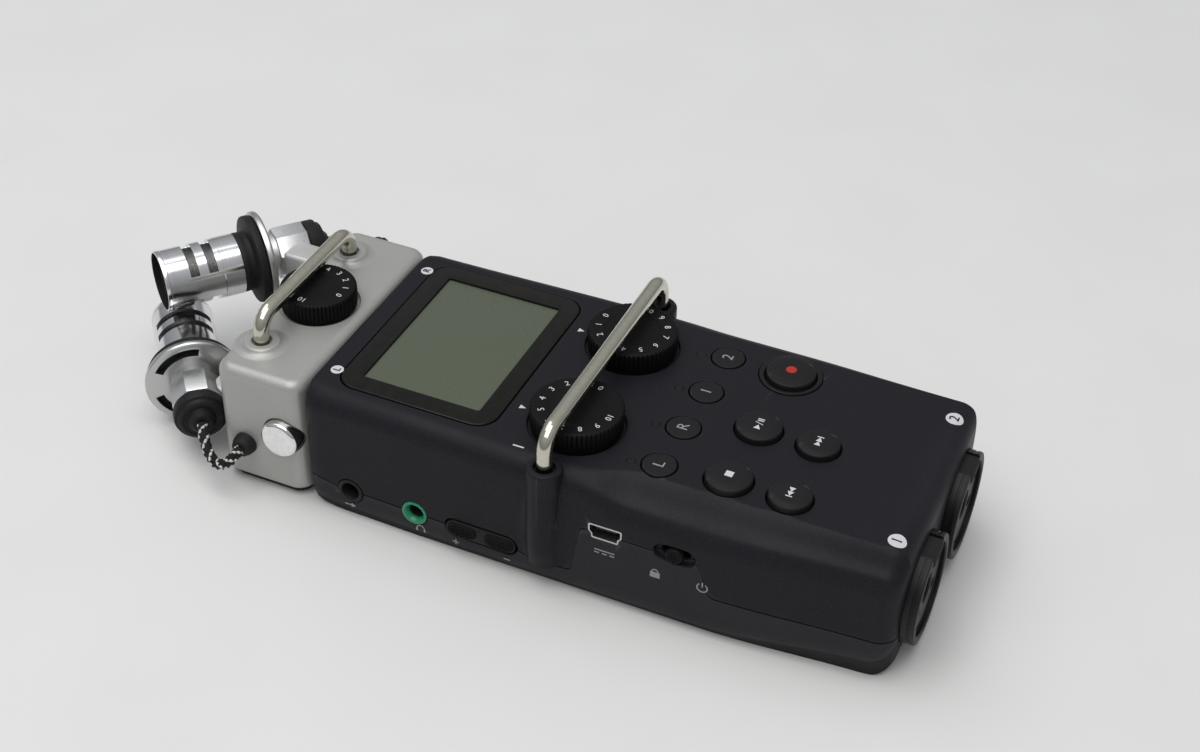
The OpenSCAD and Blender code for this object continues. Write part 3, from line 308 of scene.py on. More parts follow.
def moulded(name, dark, light, grain, rough, depth, edgeHighlight=None, sockets=()):
    finish, tree, shader = newFinish(name)
    fine = noiseOf(tree, 1 / (grain * mm), 2.0)
    broad = noiseOf(tree, surface["broad"], 4.0)
    colour = mixed(tree, mapped(tree, fine, 0, 1, *surface["contrast"]), dark, light)
    # painted highlight: a lighter colour on sharp edges, in broad patches
    if edgeHighlight:
        edge = node(tree, "NewGeometry").outputs["Pointiness"]
        highlightPatches = node(tree, "Math", operation="MULTIPLY")
        tree.links.new(mapped(tree, edge, 0, 1, *surface["edge"]), highlightPatches.inputs[0])
        tree.links.new(mapped(tree, broad, *surface["highlightPatches"]), highlightPatches.inputs[1])
        colour = mixed(tree, highlightPatches.outputs[0], colour, edgeHighlight)
    tree.links.new(colour, shader.inputs["Base Color"])
    tree.links.new(mapped(tree, broad, *rough), shader.inputs["Roughness"])
    bumped(tree, shader, fine, depth)
    for key, value in dict(sockets).items():
        shader.inputs[key].default_value = value
    return finish


def metal(name, dark, light, grain, rough, depth):
    return moulded(name, dark, light, grain, rough, depth, sockets={"Metallic": 1.0})


def lathed(name, dark, light, pitch, rough, depth):  # fine grooves round the local Z axis
    finish, tree, shader = newFinish(name)
    split = node(tree, "SeparateXYZ")
    tree.links.new(placeOf(tree), split.inputs[0])
    flat = node(tree, "CombineXYZ")
    tree.links.new(split.outputs[0], flat.inputs[0])
    tree.links.new(split.outputs[1], flat.inputs[1])
    radius = node(tree, "VectorMath", operation="LENGTH")
    tree.links.new(flat.outputs[0], radius.inputs[0])
    ring = node(tree, "CombineXYZ")
    tree.links.new(radius.outputs["Value"], ring.inputs[0])
    tree.links.new(split.outputs[2], ring.inputs[2])
    groove = noiseOf(tree, 1 / (pitch * mm), 2.0, ring.outputs[0])
    tree.links.new(mixed(tree, mapped(tree, groove, 0, 1), dark, light), shader.inputs["Base Color"])
    tree.links.new(mapped(tree, groove, *rough), shader.inputs["Roughness"])
    shader.inputs["Metallic"].default_value = 1.0
    shader.inputs["Anisotropic"].default_value = surface["brushed"]
    bumped(tree, shader, groove, depth)
    return finish


def shine(level):
    return {"Specular IOR Level": level}


soft, dull, painted = shine(0.22), shine(0.12), {"Metallic": 0.35}
# each with its dark and light colour, grain in mm, range of roughness, bump in mm, colour of the painted edge
# highlight
finishes = {
    "case": moulded("caseCharcoal", (0.0092, 0.0086, 0.0112), (0.0196, 0.0185, 0.0236),
                    0.22, (0.38, 0.5), 0.01, (0.04, 0.039, 0.049), dull),
    "belly": moulded("bellyGrey", (0.0118, 0.0115, 0.0144), (0.0235, 0.023, 0.0275),
                     0.22, (0.48, 0.6), 0.01, (0.05, 0.05, 0.054), soft),
    "silver": moulded("satinSilver", (0.34, 0.34, 0.325), (0.45, 0.45, 0.43),
                      0.14, (0.34, 0.44), 0.004, (0.6, 0.6, 0.58), painted),
    "polish": metal("polishedNickel", (0.6, 0.58, 0.485), (0.65, 0.63, 0.53), 1.2, (0.1, 0.18), 0.001),
    "bright": metal("brightChrome", (0.8, 0.8, 0.8), (0.9, 0.9, 0.9), 1.2, (0.05, 0.1), 0.0005),
    "turned": lathed("turnedAluminium", (0.7, 0.7, 0.71), (0.79, 0.79, 0.8), 0.16, (0.13, 0.2), 0.0012),
    "facets": lathed("hubAluminium", (0.7, 0.7, 0.7), (0.8, 0.8, 0.8), 0.2, (0.34, 0.44), 0.001),
    "ring": lathed("ringAluminium", (0.48, 0.49, 0.48), (0.58, 0.59, 0.58), 0.2, (0.26, 0.36), 0.001),
    "bracket": moulded("bracketSilver", (0.48, 0.48, 0.47), (0.58, 0.58, 0.565),
                       0.14, (0.36, 0.46), 0.004, (0.7, 0.7, 0.68), painted),
    "black": moulded("blackPlastic", (0.006, 0.006, 0.0065), (0.012, 0.012, 0.013),
                     0.18, (0.36, 0.5), 0.006, (0.03, 0.03, 0.03), soft),
    "knob": moulded("knobBlack", (0.003, 0.003, 0.0033), (0.007, 0.007, 0.0075),
                    0.16, (0.5, 0.65), 0.008, (0.016, 0.016, 0.017), shine(0.14)),
    "mesh": metal("meshSteel", (0.06, 0.06, 0.06), (0.2, 0.2, 0.195), 0.3, (0.3, 0.45), 0.01),
    "braid": moulded("braidBlack", (0.007, 0.007, 0.007), (0.02, 0.02, 0.02),
                     0.12, (0.6, 0.8), 0.03, None, soft),
    "fleck": moulded("braidWhite", (0.45, 0.45, 0.44), (0.7, 0.7, 0.68), 0.12, (0.6, 0.8), 0.03, None, soft),
    "rubber": moulded("blackRubber", (0.008, 0.008, 0.008), (0.018, 0.018, 0.0185),
                      0.3, (0.5, 0.68), 0.012, (0.03, 0.03, 0.03), soft),
    "cap": moulded("buttonRubber", (0.006, 0.006, 0.0066), (0.0125, 0.0125, 0.0138),
                   0.2, (0.44, 0.58), 0.007, (0.04, 0.04, 0.042), soft),
    "window": moulded("windowSmoke", (0.007, 0.0068, 0.006), (0.01, 0.0097, 0.0085),
                      2.0, (0.1, 0.16), 0.0003, None, shine(0.2)),
    "white": moulded("whiteInk", (0.55, 0.55, 0.57), (0.68, 0.68, 0.7), 0.15, (0.5, 0.65), 0.004, None, soft),
    "grey": moulded("greyInk", (0.24, 0.24, 0.26), (0.34, 0.34, 0.36), 0.15, (0.5, 0.65), 0.004, None, soft),
    "red": moulded("redInk", (0.36, 0.025, 0.022), (0.46, 0.04, 0.034), 0.15, (0.4, 0.5), 0.004, None, soft),
    "green": moulded("greenPlastic", (0.015, 0.2, 0.1), (0.025, 0.28, 0.15), 0.4, (0.25, 0.35), 0.002),
    "steel": metal("plainSteel", (0.5, 0.5, 0.49), (0.62, 0.62, 0.6), 0.3, (0.25, 0.4), 0.004),
    "brass": metal("yellowBrass", (0.6, 0.44, 0.18), (0.75, 0.57, 0.26), 0.3, (0.25, 0.4), 0.004),
    "lamp": moulded("smokedLamp", (0.008, 0.0068, 0.007), (0.013, 0.0105, 0.011),
                    0.5, (0.2, 0.3), 0.001, None, soft),
    "board": moulded("boardGreen", (0.01, 0.06, 0.03), (0.02, 0.09, 0.045), 0.5, (0.3, 0.45), 0.003),
    # also the black of the painted shade laid on chosen faces
    "inside": moulded("blackInsideAndPaintedShade", (0.006, 0.006, 0.006), (0.012, 0.012, 0.012),
                      0.3, (0.6, 0.75), 0.006, None, soft),
}
print("finishes made:", len(finishes))

# camera, light and floor
shot = {"at": (-300.42, -185.65, 291.01), "azimuth": -67.02, "elevation": 38.18, "roll": -1.556, "lens": 56.78,
        "clip": (0.01, 20)}
camera = linked("camera", bpy.data.cameras.new("camera"))
camera.data.lens = shot["lens"]
camera.data.clip_start, camera.data.clip_end = shot["clip"]
az, el = math.radians(shot["azimuth"]), math.radians(shot["elevation"])
back = Vector((math.sin(az) * math.cos(el), -math.cos(az) * math.cos(el), math.sin(el)))
facing = (-back).to_track_quat("-Z", "Y").to_matrix().to_4x4()
stand = Matrix.Translation(Vector(shot["at"]) * mm + Vector((0, jointY * mm, 0)))
camera.matrix_world = stand @ facing @ turned("Z", -shot["roll"])
bpy.context.scene.camera = camera

floor = {"size": 6.0, "dark": (0.73, 0.727, 0.722), "light": (0.744, 0.742, 0.738), "grain": 40,
         "rough": (0.6, 0.7), "depth": 0.0}
bm = bmesh.new()
bmesh.ops.create_grid(bm, x_segments=2, y_segments=2, size=floor["size"] / 2)
floorPlane = linked("floor", meshOf(bm, "floor"))
paleTable = moulded("paleTable", floor["dark"], floor["light"], floor["grain"], floor["rough"], floor["depth"])
floorPlane.data.materials.append(paleTable)

room = {"colour": (0.95, 0.97, 1.0, 1), "strength": (0.24, 0.52), "rise": (0.0, 0.9)}  # darker towards the horizon
world = bpy.data.worlds.new("room")
world.use_nodes = True
tree = world.node_tree
sky = tree.nodes["Background"]
sky.inputs["Color"].default_value = room["colour"]
up = node(tree, "SeparateXYZ")
tree.links.new(node(tree, "TexCoord").outputs["Generated"], up.inputs[0])
tree.links.new(mapped(tree, up.outputs[2], *room["strength"], *room["rise"]), sky.inputs["Strength"])
bpy.context.scene.world = world
lights = {
    "key": {"at": (-0.4, 0.0, 1.3), "size": 1.2, "power": 10.8, "colour": (1.0, 0.985, 0.96)},
    "top": {"at": (0.1, 0.55, 1.25), "size": 0.9, "power": 3.2, "colour": (0.96, 0.98, 1.0)},
}
for name, lamp in lights.items():
    data = bpy.data.lights.new(name, "AREA")
    data.size, data.energy, data.color = lamp["size"], lamp["power"], lamp["colour"]
    obj = linked(name, data)
    obj.location = lamp["at"]
    obj.rotation_euler = (-Vector(lamp["at"])).to_track_quat("-Z", "Y").to_euler()
bpy.context.scene.view_settings.view_transform = "Standard"
print("camera and light set")

# main case, d counts along it from the joint plane and e is how far a section is drawn in
case = {
    "length": 137, "height": 32.8, "wall": 2.2, "skin": 29.4, "shoulder": 5, "grip": (64.6, 80.8),
    "widths": ((0, 62), (59.6, 64.4), (95.6, 64.4), (137, 59.6)),
    "near": (23.5, 9, 38), "far": (27.5, 6, 12),  # ridge, drop and crease of each shoulder
    "belly": (60, 55), "lift": (2.4, 5.6), "tailFrom": 95.6,  # flat width and lower edge, before and at the tail
    "foot": ((0, 2.4), (0.35, 0.5)), "footRound": 1.2, "footIn": 1.5,  # the side's turn above the lower edge
    "hollow": 0.8, "hollowSweep": 300, "corner": 3.5, "rounds": (1.6, 4.5), "rises": (1.2, 9, 0.8, 7),
    "steps": 24, "wallRows": 7, "stations": 70, "innerStations": 40,
}
# for a prism drawn in length and height that runs across the case
sideways = Matrix(((0, 0, 1, 0), (1, 0, 0, 0), (0, 1, 0, 0), (0, 0, 0, 1)))


def halfWidth(d):
    for (d0, w0), (d1, w1) in zip(case["widths"], case["widths"][1:]):
        if d <= d1:
            break
    return blendTo(w0, w1, shareOf(d, d0, d1)) / 2


def roundIn(r, reach):
    return r - math.sqrt(r * r - (r - reach) ** 2) if reach < r else 0


def endIn(d):
    return sum(roundIn(r, reach) for r, reach in zip(case["rounds"], (d, case["length"] - d)))


def bellyRise(d):
    micRise, micRun, tailRise, tailRun = case["rises"]
    tail = shareOf(d, case["length"] - tailRun, case["length"])
    return blendTo(micRise, 0, shareOf(d, 0, micRun)) + blendTo(0, tailRise, tail)


def tailBlend(pair, d):
    return blendTo(*pair, shareOf(d, case["tailFrom"], case["length"]))


def gripShare(d):
    return blendTo(0, 1, shareOf(d, *case["grip"]))


def shoulderOf(d, e, side):
    ridge, drop, crease = case["near" if side < 0 else "far"]
    grip = gripShare(d)
    half = halfWidth(d) - roundIn(case["corner"], max(d, 0))  # upright corners at the module
    wide = half - e
    start = min(blendTo(half - case["shoulder"], ridge, grip), wide - 1)
    fall = blendTo(case["shoulder"], drop, grip) - e / 2
    return start, wide, case["height"] - e, fall, math.radians(crease * grip)


def caseSide(d, e, side):
    start, wide, top, drop, lean = shoulderOf(d, e, side)
    low = bellyRise(d) + e
    dent = case["hollow"] * gripShare(d) if side < 0 else 0
    edge = low + tailBlend(case["lift"], d)
    flat = min(tailBlend(case["belly"], d) / 2, wide + e - case["footIn"]) - e
    out = [(start, top)]
    for i in range(1, case["steps"] + 1):
        share = i / case["steps"]
        a = lean + (math.pi / 2 - lean) * share
        sunk = dent * math.sin(min(math.pi, math.radians(case["hollowSweep"]) * share)) ** 2
        out.append((
            start + (wide - start) * (math.sin(a) - math.sin(lean)) / (1 - math.sin(lean)),
            top - drop * (math.cos(lean) - math.cos(a)) / math.cos(lean) - sunk,
        ))
    foot = [(wide - inset, edge + rise) for inset, rise in case["foot"]]
    foot = eased([out[-1], *foot, (flat, low)], case["footRound"], 4)[1:]
    high, rows = out[-1][1], case["wallRows"]
    return out + [(wide, high + (foot[0][1] - high) * k / rows) for k in range(1, rows)] + foot


def caseRing(d, e):
    right = caseSide(d, e, 1)
    left = [(-x, z) for x, z in reversed(caseSide(d, e, -1))]
    return [(x, -d, z) for x, z in right + left]


def caseLoft():
    mic, tail = case["rounds"]
    long, count = case["length"], case["stations"]
    stops = [mic * (1 - math.cos(a)) for a in quarter(6)[:-1]]
    stops += [mic + (long - mic - tail) * i / count for i in range(count + 1)]
    stops += [long - tail * (1 - math.cos(a)) for a in reversed(quarter(9)[:-1])]
    return skin([caseRing(d, endIn(d)) for d in stops])


def caseHollow():
    wall, long, count = case["wall"], case["length"], case["innerStations"]
    stops = [wall + (long - 2 * wall) * i / count for i in range(count + 1)]
    return skin([caseRing(d, wall + (1 if d > long - wall - 1 else 0)) for d in stops])


def topOf(x, v):
    d = -v
    start, wide, top, drop, lean = shoulderOf(d, endIn(d), 1 if x > 0 else -1)
    if abs(x) <= start:
        return top
    share = min(1, (abs(x) - start) / (wide - start))
    a = math.asin(min(1, math.sin(lean) + share * (1 - math.sin(lean))))
    return top - drop * (math.cos(lean) - math.cos(a)) / math.cos(lean)


mouth = {"rise": 6, "over": 0.01}


def lipRings(ring, low, lip, top):  # rings of a cutter with a soft mouth
    rings = [ring(0, low)]
    turns = quarter(4)
    for a in turns:
        over = mouth["over"] if a == turns[-1] else 0
        rings.append(ring(lip * (1 - math.cos(a)), top - lip + lip * math.sin(a) + over))
    return rings + [ring(lip, top + mouth["rise"])]


def roundMouth(r, low, lip, top=0.0, count=48, steps=()):
    rings = lipRings(lambda grow, z: circle(r + grow, z, count), low, lip, top)
    return skin([circle(sr, sz, count) for sr, sz in steps] + rings)


def slotMouth(w, l, r, low, lip, top=0.0, steps=()):
    rings = lipRings(lambda grow, z: slabRing(w, l, r, -grow, z, 8), low, lip, top)
    return skin([slabRing(sw, sl, sr, 0, sz, 8) for sw, sl, sr, sz in steps] + rings)


seam = {
    "line": ((2, 9.4), (-4, 9.4), (-8, 8.4), (-52.5, 8.4), (-55.5, 7.0), (-66.2, 7.0), (-68.2, 20.4), (-95, 20.4),
             (-97.6, 12), (-139, 12)),
    "round": 1.6, "gap": 0.38, "across": 45, "reach": 90,
}


def seamSide(shift, way):  # all that lies above the seam, or below it
    line = [(v, z + shift) for v, z in eased(seam["line"], seam["round"], 5)]
    ends = [(seam["line"][i][0], way * seam["reach"]) for i in (-1, 0)]
    return moved(prism(line + ends, -seam["across"], seam["across"]), sideways)


# what the case has openings for: a gap lies round a piece, and a mouth is the soft lip of its opening
dials = {"places": ((-15.1, -59.6), (15.1, -59.6)), "r": 10.2, "base": 32.1, "h": 5.5, "ribs": 60, "ribDepth": 0.35,
         "gap": 0.5, "mouth": 0.3, "well": 31.8, "neck": 4.45, "mic": (0, 12.8), "micR": 8.9, "micBase": 31.5}
bars = {"r": 1.8, "hole": 1.85, "under": 0.04, "bend": 4.6, "straight": 0.5,
        "main": (31.5, -59.6, 21.64, 43.1), "mic": (19.6, 16.0, 27.02, 41.3)}  # half span, place, foot and top
bosses = {"r": 3.9, "low": 4.0, "postTop": 28.2, "drumLow": 19.5, "top": 33.4, "rim": 0.7, "lip": 2.4, "sink": 1.4,
          "mouth": 0.2, "root": 27, "bite": 0.02, "apart": 0.05, "lean": 1.1, "leanOver": (5, 13),
          "fillet": 2.2, "least": 0.4, "sweep": 27, "grows": (6, 14), "fades": (17, 28)}
tracks = {"v": -80.8, "r": 3.7, "pitch": 13.46, "mouth": 0.18, "lamp": (-1.2, 5.9), "lampR": 1.0, "lampGap": 0.05,
          "lampMouth": 0.12, "lens": ((0, 30.6), (1.0, 30.6), (1.0, 32.7), (0.9, 32.84), (0.6, 32.89), (0, 32.9))}
keys = {
    "stop": (-18.4, -95.6, 5.1), "play": (-0.4, -95.6, 5.1), "record": (20.2, -95.6, 5.6),
    "rewind": (-18.4, -109.0, 4.7), "forward": (-0.4, -109.0, 4.7),
}
keyGap, keyMouth = 0.3, 0.3
recordRing = {"r": 7.1, "seat": 31.58, "gap": 0.12, "keyGap": 0.25,
              "mouth": 0.18, "profile": ((5.86, 31.62), (7.1, 31.62), (7.1, 32.8), (7.0, 33.02), (6.8, 33.1),
                                         (6.2, 33.1), (5.95, 33.0), (5.86, 32.8))}
window = {"w": 50.6, "l": 38.0, "r": 5.0, "v": -24.6, "low": 31.32, "top": 32.95, "gap": 0.5, "mouth": 0.2,
          "under": 0.02, "sink": 0.6, "lcd": (41.0, 28.4, -24.7), "through": (46.1, 34.5, 1.0), "throughLow": 29.0}
ports = {"z": 8.0, "r": 3.1, "gap": 0.15, "deep": -8, "mouth": 0.2, "slotMouth": 0.15, "line": 11.6, "phones": 28.0,
         "rocker": 44.6, "menuHole": 2.85, "rockerSlot": (5.2, 18.0, 2.6), "scrollSlot": (4.6, 9.2, 0.4),
         "doorSlot": (5.6, 27.6, 0.6), "doorZ": 20.35, "plugHole": (24.3, 10, 0.3, 8.25, 16.55), "plugV": -1.1}
usb = {"d": 74.0, "z": 20.58,  # then height and width of the outline, radius and steps of its corners
       "open": (1.05, 1.03, 0.4, 3), "shell": (1, 1, 0.45, 4), "bore": (0.8, 0.905, 0.3, 4),
       "outline": ((1.93, -3.85), (1.93, 3.85), (-0.1, 3.85), (-0.85, 3.1), (-1.93, 3.1), (-1.93, -3.1),
                   (-0.85, -3.1), (-0.1, -3.85)),
       "shellRun": (-8.8, 0.1), "boreRun": (-8.0, 2), "tongue": (0.9, 5.0, 0.15, -8.2, -0.9, 0.1),
       "contact": (0.12, 0.5, 0.04, -8.0, -1.0), "pitch": 0.8}
power = {"d": 89.6, "recess": (4.4, 9.4), "slot": (2.4, 6.8), "deep": 1.2, "mouth": 0.3}
combo = {"x": 14.2, "z": 16.0, "r": 12.2, "gap": 0.1, "front": -140.0, "boreFrom": -113, "boreLong": 40}
trackX = [(i - 1.5) * tracks["pitch"] for i in range(4)]


def nearWall(d, z, side=-1):  # place on a side wall, local +Z points out
    return outSide(side, side * halfWidth(d), -d, z)


def usbOutline(tall, wide, radius, count):  # the outline made taller and wider, with soft corners
    return eased([(up * tall, along * wide) for up, along in usb["outline"]], radius, count, True)


def caseTopCutters():
    top, skinLow = case["height"], case["skin"]
    low, gap, through = window["low"] - window["under"], window["gap"], window["through"]
    steps = ((*through, window["throughLow"]), (*through, low))
    pocket = slotMouth(window["w"] + gap, window["l"] + gap, window["r"], low, window["mouth"], top, steps)
    out = [shifted(pocket, 0, window["v"])]
    for x, v in dials["places"]:
        steps = [(dials["neck"], z) for z in (skinLow, dials["well"])]
        well = roundMouth(dials["r"] + dials["gap"], dials["well"], dials["mouth"], top, 72, steps)
        out.append(shifted(well, x, v))
    half, v, foot = bars["main"][:3]
    for s in (-1, 1):
        seat = bosses["top"] - bosses["sink"]
        steps = [(bars["hole"], z) for z in (foot - bars["under"], seat)]
        hole = roundMouth(bosses["lip"], seat, bosses["mouth"], bosses["top"], 40, steps)
        out.append(shifted(hole, s * half, v))
    for x in trackX:
        out.append(shifted(roundMouth(tracks["r"] + keyGap, skinLow, tracks["mouth"], top), x, tracks["v"]))
        dx, dv = tracks["lamp"]
        hole = roundMouth(tracks["lampR"] + tracks["lampGap"], skinLow, tracks["lampMouth"], top, 24)
        out.append(shifted(hole, x + dx, tracks["v"] + dv))
    for name, (x, v, r) in keys.items():
        if name == "record":
            seat = recordRing["seat"]
            steps = [(r + recordRing["keyGap"], z) for z in (skinLow, seat)]
            hole = roundMouth(recordRing["r"] + recordRing["gap"], seat, recordRing["mouth"], top, 64, steps)
        else:
            hole = roundMouth(r + keyGap, skinLow, keyMouth, top)
        out.append(shifted(hole, x, v))
    return out


def caseSideCutters():
    z, deep, lip, slotLip = (ports[key] for key in ("z", "deep", "mouth", "slotMouth"))
    (wide, long), slot = power["recess"], power["slot"]
    steps = [(*slot, slot[0] / 2, low) for low in (deep, -power["deep"])]
    recess = slotMouth(wide, long, wide / 2, -power["deep"], power["mouth"], 0, steps)
    out = []
    for side, d in ((-1, ports["line"]), (-1, ports["phones"]), (1, ports["line"])):
        out.append(moved(roundMouth(ports["r"] + ports["gap"], deep, lip, 0, 40), nearWall(d, z, side)))
    out.append(moved(roundMouth(ports["menuHole"], deep, lip, 0, 40), nearWall(ports["phones"], z, 1)))
    out.append(moved(slotMouth(*ports["rockerSlot"], deep, slotLip), nearWall(ports["rocker"], z)))
    out.append(moved(slotMouth(*ports["scrollSlot"], deep, lip), nearWall(ports["rocker"], z, 1)))
    out.append(moved(prism(usbOutline(*usb["open"]), deep, mouth["rise"]), nearWall(usb["d"], usb["z"])))
    out.append(moved(recess, nearWall(power["d"], usb["z"])))
    out.append(moved(slotMouth(*ports["doorSlot"], deep, slotLip), nearWall(-window["v"], ports["doorZ"], 1)))
    out.append(shifted(slab(*ports["plugHole"]), 0, ports["plugV"]))
    for s in (-1, 1):
        bore = rod(combo["r"] + combo["gap"], 0, combo["boreLong"], 72)
        out.append(moved(bore, at(s * combo["x"], combo["boreFrom"], combo["z"]) @ turned("X", 90)))
    return out


def bossRing(z):  # post that leans into the wall at its foot, with a fillet on both sides
    half, r = bars["main"][0], bosses["r"]
    wallX = halfWidth(-bars["main"][1]) - bosses["bite"]
    middle = half - bosses["lean"] * (1 - blendTo(0, 1, shareOf(z, *bosses["leanOver"])))
    grown = blendTo(bosses["least"], 1, shareOf(z, *bosses["grows"]))
    spread = blendTo(1, 0, shareOf(z, *bosses["fades"])) * grown
    meet = math.acos((wallX - middle) / r)
    end = meet - math.radians(bosses["sweep"]) * spread
    away = r * math.sin(meet) + bosses["apart"] + bosses["fillet"] * spread

    def onPost(a):
        return Vector((middle + r * math.cos(a), r * math.sin(a)))

    crook = Vector((wallX, r * math.sin(meet)))
    bend = [bent(Vector((wallX, away)), crook, onPost(end), k / 5) for k in range(5)]
    upper = [Vector((bosses["root"], away)), *bend] + [onPost(end * k / 12) for k in range(12, 0, -1)]
    lower = [Vector((x, -y)) for x, y in reversed(upper)]
    return [(x, y, z) for x, y in [*upper, Vector((middle + r, 0)), *lower]]


def caseBosses():
    half, v = bars["main"][:2]
    r, high, rim, low = bosses["r"], bosses["top"], bosses["rim"], bosses["low"]
    profile = [(0, bosses["drumLow"]), (r, bosses["drumLow"])]
    profile += [(r - rim * (1 - math.cos(a)), high - rim + rim * math.sin(a)) for a in (0, 0.4, 0.8, 1.2, 1.5708)]
    out = []
    for s in (-1, 1):
        out.append(shifted(lathe(profile + [(0, high)], 64), s * half, v))
        post = skin([bossRing(low + (bosses["postTop"] - low) * k / 16) for k in range(17)])
        out.append(shifted(moved(post, turned("Z", 0 if s > 0 else 180)), 0, v))
    return out


upper = carved(caseLoft(), caseBosses(), "UNION")
upper = carved(upper, [seamSide(0, 1)], "INTERSECT")
upper = carved(upper, [caseHollow(), together(caseTopCutters()), together(caseSideCutters())])
piece("upperCase", upper, "main_unit", "case", "upper_case", weighted=True)
print("upper case made")

belly = {"cover": (14.8, 15.8, 0.75, 1.95, 2.4), "run": (50.1, 141.7), "screws": (22.5, (20.0, 104.0)), "post": 3.0,
         "tripod": 36.0, "tripodPost": 7, "speaker": 19.5, "holes": 4.0, "hole": (0.8, -2, 4),
         "bay": (15.0, 16.5, 51.2, 104.1, 2.0, 16.45),
         "screwHole": ((1.05, 15), (1.05, 1.7), (1.95, 1.7), (1.95, -2)), "floor": 1.2, "postTop": 17.0,
         "tripodHole": ((5.05, 14), (5.05, 0.3), (4.0, 0.3), (4.0, -2)), "shadeOver": 0.1}
screwX, screwRows = belly["screws"]
screwPlaces = [(s * screwX, -d) for d in screwRows for s in (-1, 1)]


def bellyCutters():
    w, tongue, low, high, deep = belly["cover"]
    right = [(w, -3), (w, low), (tongue, low), (tongue, high), (w, high), (w, deep)]
    outline = right + [(-x, z) for x, z in reversed(right)]
    out = [moved(prism(outline, *belly["run"]), turned("X", 90))]
    out += [shifted(lathe(belly["screwHole"], 24), *place) for place in screwPlaces]
    out.append(shifted(lathe(belly["tripodHole"], 40), 0, -belly["tripod"]))
    for i in range(9):
        grid = ((i % 3 - 1) * belly["holes"], (i // 3 - 1) * belly["holes"] - belly["speaker"])
        out.append(shifted(rod(*belly["hole"], 20), *grid))
    return out


def bellyPosts():
    out = [shifted(rod(belly["post"], belly["floor"], belly["postTop"], 32), *place) for place in screwPlaces]
    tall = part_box("tripod_insert")[1].z / mm
    out.append(shifted(rod(belly["tripodPost"], belly["floor"], tall, 40), 0, -belly["tripod"]))
    inner, outer, v0, v1, low, high = belly["bay"]
    middle = -(v0 + v1) / 2
    frameBay = carved(shifted(slab(2 * outer, v1 - v0 + 3, 0.5, low, high), 0, middle),
                      [shifted(slab(2 * inner, v1 - v0, 0.4, low - 1, high + 1), 0, middle)])
    return together(out + [frameBay])


def underEdge(x, y, z):  # painted shade below the edge where the side turns under
    d = min(max(-y, 0), case["length"])
    return z < bellyRise(d) + endIn(d) + tailBlend(case["lift"], d) + belly["shadeOver"]


lower = carved(caseLoft(), [seamSide(-seam["gap"], -1)], "INTERSECT")
lower = carved(lower, [caseHollow()])
lower = carved(lower, [bellyPosts()], "UNION")
lower = carved(lower, [together(caseSideCutters()), together(bellyCutters())])
lowerCase = piece("lowerCase", lower, "main_unit", "belly", "lower_case", weighted=True)
# painted shade on the underside, below the lower edge of the side
darkWhere(lowerCase, underEdge)
print("lower case made")


# bars
def barPath(half, v, foot, top):
    bend = bars["bend"]
    turnZ = top - bars["r"] - bend
    right = [(half, v, foot), (half, v, foot + bars["straight"]), (half, v, turnZ)]
    right += [(half - bend + bend * math.cos(a), v, turnZ + bend * math.sin(a)) for a in quarter(14)[1:]]
    return right + [(-x, y, z) for x, y, z in reversed(right)]


piece("guardBar", tube(barPath(*bars["main"]), bars["r"], 32), "main_unit", "polish", "guard_bar")
piece("micGuardBar", tube(barPath(*bars["mic"]), bars["r"], 32), "mic_module", "polish", "mic_guard_bar")
print("bars made")

# marks: thin raised ink laid on a surface
ink = {"thick": 0.05, "lift": 0.01, "sink": 0.005, "type": 1.42}  # type is text size over letter height


def glyph(text, height, x=0, v=0, turn=0):
    curve = bpy.data.curves.new("glyph", "FONT")
    curve.body, curve.size, curve.resolution_u = text, height * ink["type"], 3
    curve.align_x, curve.align_y, curve.extrude = "CENTER", "CENTER", ink["thick"] / 2
    obj = linked("glyph", curve)
    bm = evaluated(obj)
    bpy.data.objects.remove(obj)
    bpy.data.curves.remove(curve)
    return moved(bm, at(x, v, ink["thick"] / 2) @ turned("Z", turn))


def inkShape(outline, x=0, v=0):
    return shifted(prism(outline, 0, ink["thick"]), x, v)


def inkBar(w, l, x=0, v=0):
    return inkShape([(-w / 2, -l / 2), (w / 2, -l / 2), (w / 2, l / 2), (-w / 2, l / 2)], x, v)


def inkDisc(r, count, inner=1):  # inner rings let it follow a curved top
    rim = [(r * k / inner, ink["thick"]) for k in range(inner, -1, -1)]
    return lathe([(0, 0), (r, 0)] + rim, count)


def inkArc(r, wide, start, end, x, y, count=14):
    edges = [(r + s * wide / 2, z) for s, z in ((1, 0), (1, ink["thick"]), (-1, ink["thick"]), (-1, 0))]
    turns = [math.radians(start + (end - start) * i / count) for i in range(count + 1)]
    return skin([[(n * math.cos(a) + x, n * math.sin(a) + y, z) for n, z in edges] for a in turns])


def laidOnTop(bm):
    for vert in bm.verts:
        vert.co.z += topOf(vert.co.x, vert.co.y) + ink["lift"]
    return bm


def laidOnSide(bm):  # drawn with x along the case and y upwards, seen from the near side
    for vert in bm.verts:
        along, high, out = vert.co
        vert.co = (-halfWidth(along) - out - ink["lift"], -along, high)
    bmesh.ops.recalc_face_normals(bm, faces=bm.faces)
    return bm


# window and display
# the display's colours; the far colour and its span give a painted shading gradient, lighter at the module end and
# darker towards the tail
glass = {"dark": (0.084, 0.098, 0.067), "light": (0.096, 0.112, 0.077), "far": (0.112, 0.126, 0.098),
         "shadeFade": (-39, -10), "grain": 0.5, "rough": (0.22, 0.3), "shine": 0.3, "depth": 0.0008}
lcdW, lcdL, lcdV = window["lcd"]
lcdFloor = window["top"] - window["sink"]


def windowPlate():
    plate = slab(window["w"], window["l"], window["r"], window["low"], window["top"], 0.3, 0, 10)
    sizes = ((0, lcdFloor), (-0.25, window["top"] + 0.5))
    opening = skin([slabRing(lcdW, lcdL, 0.5, inset, z, 4) for inset, z in sizes])
    return shifted(carved(plate, [shifted(opening, 0, lcdV - window["v"])]), 0, window["v"])


